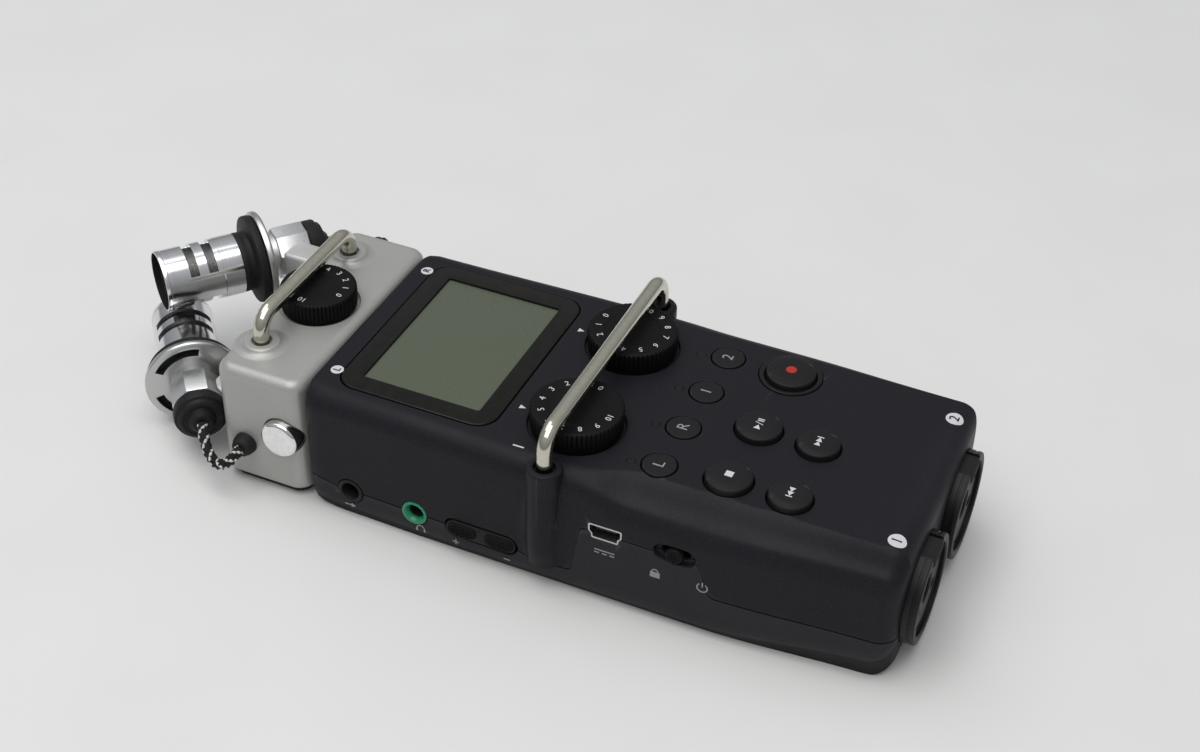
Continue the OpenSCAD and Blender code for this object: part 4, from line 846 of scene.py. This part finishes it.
def lcdFinish():
    finish, tree, shader = newFinish("lcdGlass")
    split = node(tree, "SeparateXYZ")
    tree.links.new(placeOf(tree), split.inputs[0])
    # painted shade: the display grows darker towards the tail end
    shadeFade = mapped(tree, split.outputs[1], 0, 1, *((jointY + v) * mm for v in glass["shadeFade"]))
    grain = noiseOf(tree, 1 / (glass["grain"] * mm), 3.0)
    ground = mixed(tree, mapped(tree, grain, 0, 1), glass["dark"], glass["light"])
    tree.links.new(mixed(tree, shadeFade, ground, glass["far"]), shader.inputs["Base Color"])
    tree.links.new(mapped(tree, grain, *glass["rough"]), shader.inputs["Roughness"])
    shader.inputs["Specular IOR Level"].default_value = glass["shine"]
    bumped(tree, shader, grain, glass["depth"])
    return finish


piece("displayWindow", windowPlate(), "main_unit", "window", "display_window")
lcdPlate = slab(lcdW - 0.1, lcdL - 0.1, 0.4, lcdFloor + 0.01, lcdFloor + 0.12, 0.03)
finishes["lcd"] = lcdFinish()
lcd = piece("lcdGlass", shifted(lcdPlate, 0, lcdV), "main_unit", "lcd")
print("window made")

# dials: rows are in from the rim, share of the rib depth, height, with rim and top counted from the top
dialShape = {
    "skirt": ((0.25, 0, 0.25), (0.2, 0, 1.0), (0, 1, 1.2)),
    "rim": ((0, 1, -0.75), (0.06, 1, -0.45), (0.2, 0.7, -0.2), (0.45, 0.3, -0.05)),
    "top": ((0.75, 0), (1.2, 0), (3.6, 0), (3.8, -0.06), (4.1, -0.2), (4.4, -0.24)),
    "bore": 3.05, "roof": 1.6, "foot": 0.5, "digitIn": 2.45, "digitHeight": 1.45, "digitStep": 28,
}


def ribbedDial(r, h):
    count, ribs = dials["ribs"] * 6, dials["ribs"]

    def ribRing(inset, share, z):
        out = []
        for a in turnsOf(count):
            radius = r - inset - dials["ribDepth"] * share * max(0, math.cos(ribs * a)) ** 2
            out.append((radius * math.cos(a), radius * math.sin(a), z))
        return out

    bore, roof = dialShape["bore"], h - dialShape["roof"]
    rings = [[(0, 0, roof)], circle(bore, roof, count), circle(bore, 0, count)]
    rings.append(circle(r - dialShape["foot"], 0, count))
    rings += [ribRing(*row) for row in dialShape["skirt"]]
    rings += [ribRing(inset, share, h + z) for inset, share, z in dialShape["rim"]]
    rings += [circle(r - inset, h + z, count) for inset, z in dialShape["top"]]
    return skin(rings + [[(0, 0, h + dialShape["top"][-1][1])]])


def dialDigits(r, h, five):
    out = []
    for n in range(11):
        turn = five + (n - 5) * dialShape["digitStep"]
        a, radius = math.radians(turn), r - dialShape["digitIn"]
        out.append(glyph(str(n), dialShape["digitHeight"], radius * math.cos(a), radius * math.sin(a), turn - 90))
    return shifted(together(out), 0, 0, h - ink["sink"])


dialRows = (  # the last value is the turn of digit five
    ("gainDial1", "gain_dial_1", "gain_knob_1", (*dials["places"][0], dials["base"]), dials["r"], 124.6),
    ("gainDial2", "gain_dial_2", "gain_knob_2", (*dials["places"][1], dials["base"]), dials["r"], 215.4),
    ("micGainDial", "mic_gain_dial", "mic_gain_knob", (*dials["mic"], dials["micBase"]), dials["micR"], 37.0),
)
for name, body, cadName, place, r, five in dialRows:
    piece(name, ribbedDial(r, dials["h"]), body, "knob", cadName, at(*place), 40)
    ring = piece(name + "Digits", dialDigits(r, dials["h"], five), body, "white", None, at(*place))
print("dials made")

# buttons
caps = {"key": {"top": 34.46, "edge": 0.55, "flat": 2.5, "crown": 0.32},
        "track": {"top": 33.03, "edge": 0.2, "flat": 2.6, "crown": 0.06},
        "flange": (0.55, 28.9, 29.9), "dot": 1.2, "letter": 2.5}


def keyCap(r, top, edge, flat, crown):
    out, low, high = caps["flange"]
    turnZ = top - crown - edge
    profile = [(0, low), (r + out, low), (r + out, high), (r, high), (r, turnZ)]
    profile += [(r - edge * (1 - math.cos(a)), turnZ + edge * math.sin(a)) for a in quarter(5)[1:]]
    for k in range(1, 9):
        t = k / 8
        profile.append(((r - edge) + (flat - r + edge) * t, top - crown * (1 - t) ** 2))
    return lathe(profile + [(0, top)], 56)


def pointer(size, x=0, way=1):
    back, tip = x - way * size * 0.5, x + way * size * 0.5
    return inkShape([(back, -size * 0.55), (tip, 0), (back, size * 0.55)])


def keyMark(name):
    if name == "record":
        return inkDisc(caps["dot"], 36)
    if name == "stop":
        return together([inkBar(1.7, 1.7)])
    if name == "play":
        slash = inkShape([(-0.28, -0.9), (-0.1, -0.9), (0.42, 0.9), (0.24, 0.9)])
        return together([pointer(1.4, -1.15), slash, inkBar(0.3, 1.4, 0.95), inkBar(0.3, 1.4, 1.5)])
    way = 1 if name == "forward" else -1
    return together([pointer(1.3, -0.9 * way, way), pointer(1.3, 0.4 * way, way), inkBar(0.28, 1.45, 1.25 * way)])


for name, (x, v, r) in keys.items():
    spot = at(x, v)
    body = name + "_button_body"
    piece(name + "Button", keyCap(r, **caps["key"]), body, "cap", name + "_button", spot)
    mark = shifted(keyMark(name), 0, 0, caps["key"]["top"] - ink["sink"])
    icon = piece(name + "Mark", mark, body, "red" if name == "record" else "white", None, spot)
ringLamp = lathe(recordRing["profile"], 72, True)
piece("recordRing", ringLamp, "main_unit", "lamp", "record_ring", at(*keys["record"][:2]))
for x, letter, tag in zip(trackX, "LR12", "lr12"):
    spot = at(x, tracks["v"])
    body = f"track_button_{tag}_body"
    cap = keyCap(tracks["r"], **caps["track"])
    piece("trackButton" + letter, cap, body, "cap", "track_button_" + tag, spot)
    mark = shifted(glyph(letter, caps["letter"]), 0, 0, caps["track"]["top"] - ink["sink"])
    sign = piece("trackMark" + letter, mark, body, "grey", None, spot)
dx, dv = tracks["lamp"]
lamps = [shifted(lathe(tracks["lens"], 24), x + dx, tracks["v"] + dv) for x in trackX]
piece("trackLamps", together(lamps), "main_unit", "black", "track_lamps")
print("buttons made")

# marks on the case: radius and place of the discs, then numbers and arrows by the dials
marks = {"input": (1.95, 21.2, -132.7), "mic": (1.45, 21.0, -4.2), "letter": 1.15, "over": 0.15,
         "number": (2.6, 27.4, -51.8), "arrow": (15.3, -46.9),
         "arrowShape": ((-0.65, 0.75), (0, -0.75), (0.65, 0.75))}
white, dark = [], []
for s, number, letter in ((-1, "1", "L"), (1, "2", "R")):
    for tag, (r, x, v) in ((number, marks["input"]), (letter, marks["mic"])):
        white.append(shifted(inkDisc(r, 40, 5), s * x, v))
        dark.append(shifted(glyph(tag, r * marks["letter"], s * x, v), 0, 0, marks["over"]))
    tall, x, v = marks["number"]
    white.append(glyph(number, tall, s * x, v))
    x, v = marks["arrow"]
    white.append(inkShape(marks["arrowShape"], s * x, v))
caseMarks = piece("caseMarks", laidOnTop(together(white)), "main_unit", "white")
darkMarks = piece("darkMarks", laidOnTop(together(dark)), "main_unit", "black")

# signs on the near side, each at its place along and up
signs = {"phones": (29.5, 4.0), "louder": (38.4, 3.9), "softer": (51.0, 3.9), "current": (74, 15.6),
         "power": (96.2, 14.2), "lock": (85.6, 13.6), "out": (11.0, 3.9), "line": 0.3}


def sideInk():
    thin = signs["line"]
    x, z = signs["phones"]
    out = [inkArc(0.95, 0.26, 0, 180, x, z)] + [inkBar(0.45, 0.8, x + s * 0.95, z - 0.3) for s in (-1, 1)]
    out += [inkBar(1.5, thin, *signs["louder"]), inkBar(thin, 1.5, *signs["louder"])]
    out.append(inkBar(1.5, thin, *signs["softer"]))
    x, z = signs["current"]
    out += [inkBar(4.6, thin, x, z)] + [inkBar(1.1, thin, x + i * 1.75, z - 0.8) for i in (-1, 0, 1)]
    x, z = signs["power"]
    out += [inkArc(1.15, thin, 125, 415, x, z), inkBar(thin, 1.3, x, z + 0.8)]
    x, z = signs["lock"]
    out += [inkBar(2.2, 1.5, x, z), inkArc(0.7, thin, 0, 180, x, z + 0.8)]
    x, z = signs["out"]
    return out + [inkBar(2.0, thin, x, z), inkShape([(x + 0.7, z - 0.6), (x + 1.8, z), (x + 0.7, z + 0.6)])]


sideSigns = piece("sideSigns", laidOnSide(together(sideInk())), "main_unit", "grey")
print("marks made")


# side controls and ports
def oval(w, l, z0, z1, edge):
    return slab(w, l, w / 2 - 0.01, z0, z1, edge, 0, 10)


pyramid = {"half": 0.46, "rowPitch": 0.86, "margin": 0.55, "tip": 0.3, "sink": 0.1}


def knurl(w, l, z, pitch, tall):  # small pyramids inside an oval
    out = []
    rows, columns = int(w / pitch), int(l / pitch)
    h, tip = pitch * pyramid["half"], pyramid["tip"]
    for i in range(-columns, columns + 1):
        for j in range(-rows, rows + 1):
            x, y = j * pitch + (pitch / 2 if i % 2 else 0), i * pitch * pyramid["rowPitch"]
            reach = max(0, abs(y) - (l - w) / 2)
            if math.hypot(x, reach) > w / 2 - pitch * pyramid["margin"]:
                continue
            corners = ((x - h, y), (x, y - h), (x + h, y), (x, y + h))
            base = [(px, py, z - pyramid["sink"]) for px, py in corners]
            top = [(x + (px - x) * tip, y + (py - y) * tip, z + tall) for px, py in corners]
            out.append(skin([base, top]))
    return out


rocker = {"size": (4.2, 17.0), "low": -3.6, "proud": 0.25, "edge": 0.25, "pad": (3.8, 7.0), "padV": 4.5,
          "padLow": 0.05, "padProud": 0.62, "padEdge": 0.3, "knurl": (0.7, 0.33)}
pads = []
for s in (-1, 1):
    pad = [oval(*rocker["pad"], rocker["padLow"], rocker["padProud"], rocker["padEdge"])]
    pad += knurl(*rocker["pad"], rocker["padProud"], *rocker["knurl"])
    pads += [shifted(bit, 0, s * rocker["padV"]) for bit in pad]
wall = nearWall(ports["rocker"], ports["z"])
rockerBody = oval(*rocker["size"], rocker["low"], rocker["proud"], rocker["edge"])
piece("volumeRocker", rockerBody, "volume_rocker_body", "cap", "volume_rocker", wall)
rockerPads = piece("volumePads", together(pads), "volume_rocker_body", "knob", None, wall)

thumb = {"size": (3.6, 4.0), "low": -0.9, "top": 0.5, "edge": 0.4, "stem": (1.8, 2.4, -3.2, -0.8, 0.1),
         "knurl": (0.66, 0.28)}
slider = [oval(*thumb["size"], thumb["low"], thumb["top"], thumb["edge"]), oval(*thumb["stem"])]
slider += knurl(*thumb["size"], thumb["top"], *thumb["knurl"])
piece("powerSlider", together(slider), "power_slider_body", "knob", "power_slider",
      nearWall(power["d"], usb["z"]))

socket = {"bore": 1.82, "depth": -12, "proud": 0.17, "step": (3.4, -4.8), "phonesFlare": 2.35, "lineFlare": 2.2,
          "shadeFrom": -1.3}


def miniJack(flare):
    bore, depth, proud, r = socket["bore"], socket["depth"], socket["proud"], ports["r"]
    wide, step = socket["step"]
    profile = [(bore, depth), (bore, -1.2), (flare, 0.0), (flare + 0.25, proud), (r - 0.3, proud)]
    profile += [(r - 0.06, 0.06), (r, -0.2), (r, step), (wide, step), (wide, depth)]
    return lathe(profile, 40, True)


phonesJack = piece("phonesJack", miniJack(socket["phonesFlare"]), "main_unit", "green", "phones_jack",
                   nearWall(ports["phones"], ports["z"]))
darkWhere(phonesJack, lambda x, y, z: z < socket["shadeFrom"])  # painted shade down the bore
smallJacks = [moved(miniJack(socket["lineFlare"]), nearWall(ports["line"], ports["z"], s)) for s in (-1, 1)]
piece("smallJacks", together(smallJacks), "main_unit", "black", "small_jacks")

usbWall = nearWall(usb["d"], usb["z"])
shellBore = prism(usbOutline(*usb["bore"]), *usb["boreRun"])
shell = carved(prism(usbOutline(*usb["shell"]), *usb["shellRun"]), [shellBore])
piece("usbPort", shell, "main_unit", "steel", "usb_port", usbWall)
tongue = [shifted(slab(*usb["tongue"]), usb["tongue"][0] / 2)]
tongue += [shifted(slab(*usb["contact"]), -0.04, i * usb["pitch"]) for i in range(-2, 3)]
usbTongue = piece("usbTongue", together(tongue), "main_unit", "black", None, usbWall)
print("near side made")

menu = {"profile": ((0, -4.1), (3.6, -4.1), (3.6, -3.1), (2.6, -3.1), (2.6, 0.5), (2.45, 0.78), (2.1, 0.9),
                    (1.2, 0.8), (0, 0.72))}
menuWall = nearWall(ports["phones"], ports["z"], 1)
piece("menuButton", lathe(menu["profile"], 40), "menu_button_body", "cap", "menu_button", menuWall)

# input jacks, drawn with z going in from the front
jack = {
    "profile": ((3.25, 27), (3.25, 1.35), (3.6, 1.0), (8.5, 1.0), (8.7, 1.2), (8.7, 12), (10.1, 12), (10.1, 1.25),
                (10.3, 1.0), (10.3, 0.35), (10.55, 0.06), (11.0, 0), (11.75, 0), (12.08, 0.1), (12.2, 0.4),
                (12.2, 1.1), (12.02, 1.2), (12.02, 1.6), (12.2, 1.7), (12.2, 2.88), (11.8, 2.9), (11.8, 27)),
    "pins": (-60, 60, 180), "pinR": 6.1, "pinHole": ((1.35, 10), (1.35, 1.2), (1.6, 0.95), (1.6, -1)),
    "tabSlot": (7.9, 16, 0.3, -2, 6.6), "tabSlotV": -8.65 - 8,
    "tab": (7.4, 2.4, 0.5, 0, 4.72, 0.3), "rib": (6.4, 0.28, 0.1, 4.5, 4.9, 0.08), "ribs": (-0.6, 0, 0.6),
    "tabV": -135.4, "tabZ": 26.1,
}


def comboJack():
    cuts = [moved(lathe(jack["pinHole"], 24), turned("Z", a) @ at(0, jack["pinR"])) for a in jack["pins"]]
    cuts.append(shifted(slab(*jack["tabSlot"]), 0, jack["tabSlotV"]))
    return carved(lathe(jack["profile"], 96, True), [together(cuts)])


for i, s in ((1, -1), (2, 1)):
    spot = at(s * combo["x"], combo["front"], combo["z"]) @ turned("X", -90)
    piece(f"comboJack{i}", comboJack(), "main_unit", "black", f"combo_jack_{i}", spot)
    tab = [slab(*jack["tab"])] + [shifted(slab(*jack["rib"]), 0, y) for y in jack["ribs"]]
    place = at(s * combo["x"], jack["tabV"], jack["tabZ"]) @ turned("X", 90)
    piece(f"jackRelease{i}", together(tab), f"jack_release_{i}_body", "cap", f"jack_release_{i}", place)
print("jacks made")

# microphone module
module = {
    "w": 61.0, "l": 22.2, "v": 11.4, "low": 2.4, "top": 32.2, "r": 4.0, "edge": 2.6, "foot": 0.6,
    "inside": (55.6, 17.8, 0.5, 1, 30.0), "plugHole": (19.9, 8, 0.3, 10.45, 14.35), "plugV": 0.3,
    "release": (5.6, 17.2), "releaseHole": (4.85, -8, 0.3), "grommetV": 15.5, "grommets": ((-1, 12.0), (1, 27.2)),
    "grommetHole": (1.95, -6, 0.1), "well": 31.2, "wellLow": 28,
    "barSeat": 32.4, "barTop": 33.6, "barLip": 2.3, "barMouth": 0.25, "barLow": 26.9,
    "boss": ((0, 30.5), (6.6, 30.5), (6.6, 32.14), (5.9, 32.26), (5.0, 32.5), (4.45, 32.85), (4.2, 33.2),
             (3.95, 33.48), (3.6, 33.59), (0, 33.6)),
}


def moduleSide(s, v, z):
    return outSide(s, s * module["w"] / 2, v, z)


def housing():
    body = slab(*(module[key] for key in ("w", "l", "r", "low", "top", "edge", "foot")), 10)
    body = shifted(body, 0, module["v"])
    half, v = bars["mic"][:2]
    body = carved(body, [together([shifted(lathe(module["boss"], 56), s * half, v) for s in (-1, 1)])], "UNION")
    body = carved(body, [shifted(slab(*module["inside"]), 0, module["v"])])
    steps = [(dials["neck"], z) for z in (module["wellLow"], module["well"])]
    well = roundMouth(dials["micR"] + dials["gap"], module["well"], dials["mouth"], module["top"], 72, steps)
    cuts = [shifted(well, *dials["mic"])]
    seat = module["barSeat"]
    for s in (-1, 1):
        steps = [(bars["hole"], z) for z in (module["barLow"], seat)]
        hole = roundMouth(module["barLip"], seat, module["barMouth"], module["barTop"], 40, steps)
        cuts.append(shifted(hole, s * half, v))
        cuts.append(moved(roundMouth(*module["releaseHole"], 0, 56), moduleSide(s, *module["release"])))
    for s, z in module["grommets"]:
        cuts.append(moved(roundMouth(*module["grommetHole"], 0, 24), moduleSide(s, module["grommetV"], z)))
    cuts.append(shifted(slab(*module["plugHole"]), 0, module["plugV"]))
    return carved(body, [together(cuts)])


piece("moduleHousing", housing(), "mic_module", "silver", "module_housing", weighted=True)
push = {"profile": ((0, -5), (4.6, -5), (4.6, 1.25), (4.48, 1.55), (4.05, 1.95), (3.85, 2.0), (0, 2.0)),
        "ears": (11.0, 4.0, 0.3, -4.0, -3.1)}  # they keep the button in
for s, side in ((-1, "left"), (1, "right")):
    button = carved(lathe(push["profile"], 64), [slab(*push["ears"])], "UNION")
    piece("releaseButton" + side.title(), button, f"release_button_{side}_body", "bright", "release_button_" + side,
          moduleSide(s, *module["release"]))
print("module made")

# microphones, each drawn along its own axis with zero where the two axes cross
mics = {
    "cross": 52.6, "z": {-1: 11.7, 1: 26.9}, "angle": 50, "tube": (7.4, -20.5, 4.1), "wall": 0.9,
    "vents": (-4.3, -8.8), "ventW": 2.2, "ventHalf": 62, "ventIn": 1.35, "shadeFrom": 1.8, "shadeIn": 0.42,
    "collar": ((0, -20.18), (10.1, -20.18), (10.6, -20.05), (10.75, -19.7), (10.75, -18.7), (10.6, -18.3),
               (10.1, -18.15), (8.0, -18.0), (7.45, -17.8), (7.3, -17.4), (7.3, -16.6), (7.15, -16.5),
               (7.15, -16.2), (7.3, -16.1), (7.3, -15.4), (7.2, -15.1), (7.02, -15.05), (7.02, -20.1), (0, -20.1)),
    "ring": ((5.0, -22.0), (10.7, -22.0), (11.15, -21.87), (11.35, -21.5), (11.35, -20.8), (11.15, -20.38),
             (10.7, -20.22), (5.0, -20.22)),
    "ringSlots": (87, 207, 327), "ringSlot": (7.7, 9.7), "slotSweep": 76,
    "hub": ((5.9, -32.48), (6.25, -32.3), (6.4, -32.0), (6.4, -24.9), (6.25, -24.55), (5.9, -24.4)),
    "neck": ((0, -27), (5.0, -27), (5.0, -25.6), (5.3, -25.3), (5.3, -22.02), (0, -22.02)),
    "cap": ((0, -32.52), (6.0, -32.52), (6.2, -32.8), (6.2, -34.9), (6.05, -35.3), (5.7, -35.5), (5.45, -35.55),
            (5.35, -35.7), (5.2, -36.3), (4.9, -36.55), (4.3, -36.6), (4.1, -36.4), (3.4, -36.35), (3.2, -36.6),
            (3.1, -37.1), (2.6, -37.6), (2.2, -37.95), (1.5, -38.0), (0, -38.0)),
    "arm": (7.0, 9.0, 1.2, -4.5, 4.5, 0.9, 0.9), "armX": 17.5, "armV": 22.52 + 4.5,
    "armDrum": (6.5, -42, -24), "armWide": (11.8, -24.4, -14),
}
weave = {"columns": 144, "rows": 72, "discs": 13, "wave": 0.08, "from": -11}


def micAxis(s):
    return at(0, mics["cross"], mics["z"][s]) @ turned("Z", s * mics["angle"]) @ turned("X", -90)


def sector(inner, outer, start, end, z0, z1, count=24):
    turns = [math.radians(start + (end - start) * i / count) for i in range(count + 1)]
    outline = [(outer * math.cos(a), outer * math.sin(a)) for a in turns]
    outline += [(inner * math.cos(a), inner * math.sin(a)) for a in reversed(turns)]
    return prism(outline, z0, z1)


def micTube():
    r, back, front = mics["tube"]
    inner, tail = r - mics["wall"], back + 0.02
    profile = [(inner, tail), (r - 0.4, tail), (r - 0.4, -15.1), (r, -14.9), (r, -10.2), (r - 0.08, -10.05)]
    profile += [(r - 0.08, 3.0), (r, 3.15), (r, front - 0.2), (r - 0.06, front - 0.05), (r - 0.2, front)]
    profile += [(r - 0.4, front), (r - 0.5, front - 0.1), (r - 0.55, front - 1.6), (inner, front - 1.65)]
    half = mics["ventHalf"]
    cuts = []
    for low in mics["vents"]:
        for a in (-90, 90):
            cuts.append(sector(r - mics["ventIn"], r + 1, a - half, a + half, low, low + mics["ventW"]))
    return carved(lathe(profile, 96, True), [together(cuts)])


def micMesh():  # wires that go over and under each other, round the side and over the end
    r, back, front = mics["tube"]
    radius, top = r - mics["wall"] - 0.08, front - 1.7
    count, rows, wave, start = weave["columns"], weave["rows"], weave["wave"], weave["from"]
    rings = [[(0, 0, back + 0.03)], circle(radius, back + 0.03, count)]
    for i in range(rows + 1):
        z = start + (top - 0.25 - start) * i / rows
        reach = [radius - 0.09 + wave * math.cos(math.pi * k) * math.cos(math.pi * i) for k in range(count)]
        rings.append([(n * math.cos(a), n * math.sin(a), z) for n, a in zip(reach, turnsOf(count))])
    for j in range(1, weave["discs"]):
        flat = circle(radius * (1 - j / weave["discs"]), 0, count)
        rings.append([(x, y, top - 0.1 + wave * math.cos(math.pi * (k + j))) for k, (x, y, z) in enumerate(flat)])
    return skin(rings + [[(0, 0, top - 0.1)]])


def micRing():
    sweep = mics["slotSweep"]
    cuts = [sector(*mics["ringSlot"], a, a + sweep, -30, -20) for a in mics["ringSlots"]]
    return carved(lathe(mics["ring"], 96, True), [together(cuts)])


def micHub():
    corners = [math.pi / 4 * (i + 0.5) for i in range(8)]
    bodyHub = skin([[(r * math.cos(a), r * math.sin(a), z) for a in corners] for r, z in mics["hub"]])
    return carved(bodyHub, [lathe(mics["neck"], 64)], "UNION")


def micArm(s):
    block = shifted(slab(*mics["arm"]), s * mics["armX"], mics["armV"], mics["z"][s])
    return carved(block, [moved(rod(*mics[key], 64), micAxis(s)) for key in ("armDrum", "armWide")])


# painted shade inside the mouth of each tube
def inMouth(x, y, z):
    return z > mics["shadeFrom"] and math.hypot(x, y) < mics["tube"][0] - mics["shadeIn"]


for s, side in ((-1, "Low"), (1, "High")):
    axis = micAxis(s)
    micPieces = {
        "micTube": (micTube(), "turned", "mic_tubes"),
        "micMesh": (micMesh(), "mesh", "mic_meshes"),
        "micCollar": (lathe(mics["collar"], 80), "rubber", "mic_collars"),
        "micRing": (micRing(), "ring", "mic_rings"),
        "micHub": (micHub(), "facets", "mic_hubs"),
        "micCap": (lathe(mics["cap"], 64), "rubber", "mic_caps"),
    }
    for name, (bm, finish, cadName) in micPieces.items():
        # painted shade in each tube's mouth
        darkWhere(piece(name + side, bm, "mic_module", finish, cadName, axis, 28), inMouth)
    piece("micArm" + side, micArm(s), "mic_module", "bracket", "mic_arms")
print("microphones made")

# leads, on the same points as the solids: sideways, along and above the microphone's axis
lead = {"route": ((-32, 26, -0.8), (-34.6, 23.2, -2.6), (-36.2, 20, -3.4), (-36.2, 17.2, -2), (-34.8, 15.7, -0.2),
                  (-33.4, 15.5, 0.3)),
        "from": 38, "into": 2.0, "stops": 12, "core": 0.95, "wind": 0.92, "strand": 0.36, "turns": 3.4,
        "strands": 4, "fleckTurn": 0.4}


def leadLine(s):
    a, reach = math.radians(mics["angle"]), lead["from"]
    points = [(-reach * math.sin(a), mics["cross"] - reach * math.cos(a), 0), *lead["route"]]
    points = [Vector(p) for p in points]
    ghost = [points[0] * 2 - points[1], *points, points[-1] + Vector((lead["into"], 0, 0))]
    out = []
    for i in range(1, len(ghost) - 2):
        p, q, u, w = ghost[i - 1:i + 3]
        for k in range(lead["stops"]):
            t = k / lead["stops"]
            square, cube = 2 * p - 5 * q + 4 * u - w, 3 * q - p - 3 * u + w
            out.append(0.5 * (2 * q + (u - p) * t + square * t * t + cube * t ** 3))
    out.append(ghost[-2])
    return [Vector((x * -s, y, z + mics["z"][s])) for x, y, z in out]


def strand(line, start, way):
    path = []
    for i, (p, side, other) in enumerate(framesOf(line)):
        a = start + way * 2 * math.pi * lead["turns"] * i / (len(line) - 1)
        path.append(p + lead["wind"] * (math.cos(a) * side + math.sin(a) * other))
    return tube(path, lead["strand"], 8)


for s, side in ((-1, "Low"), (1, "High")):
    line = leadLine(s)
    turns = turnsOf(lead["strands"])
    darkStrands = [tube(line, lead["core"], 16)] + [strand(line, a, -1) for a in turns]
    piece("micLead" + side, together(darkStrands), "mic_module", "braid", "mic_leads", sharp=60)
    paleStrands = [strand(line, a + lead["fleckTurn"], 1) for a in turns[::2]]
    fleck = piece("micLeadFleck" + side, together(paleStrands), "mic_module", "fleck", sharp=60)
grommet = {"profile": ((0, -2), (1.9, -2), (1.9, 0.02), (2.75, 0.02), (2.8, 0.3), (2.62, 0.7), (2.72, 0.95),
                       (2.5, 1.4), (2.58, 1.65), (2.3, 2.2), (2.1, 2.7), (1.7, 2.88), (0, 2.88))}
cones = []
for s, z in module["grommets"]:
    cones.append(moved(lathe(grommet["profile"], 40), moduleSide(s, module["grommetV"], z)))
piece("leadGrommets", together(cones), "mic_module", "rubber", "lead_grommets")
print("leads made")

# battery cover grip
grip = {"rib": (14, 0.7, 0.3, 0.06, 0.4, 0, 0.15), "v": -118, "pitch": 2.0, "count": 5}
ribs = [shifted(slab(*grip["rib"]), 0, grip["v"] + grip["pitch"] * i) for i in range(grip["count"])]
coverGrip = piece("coverGrip", together(ribs), "battery_cover_body", "belly")

# solids that show as they are
plain = {
    "board": ("main_board", "module_board"), "brass": ("jack_contacts", "tripod_insert"),
    "steel": ("battery_contacts", "case_screws", "gain_shaft_1", "gain_shaft_2", "mic_gain_shaft", "battery_cells"),
    "black": ("board_controls", "module_socket", "module_plug", "module_base", "scroll_switch", "speaker"),
    "case": ("card_door",), "belly": ("battery_cover",), "inside": ("lcd_module",),
}
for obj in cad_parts.values():
    obj.data.materials.clear()
    obj.data.materials.append(finishes["black"])
for finish, names in plain.items():
    for name in names:
        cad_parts[name].data.materials[0] = finishes[finish]
print("solids dressed")
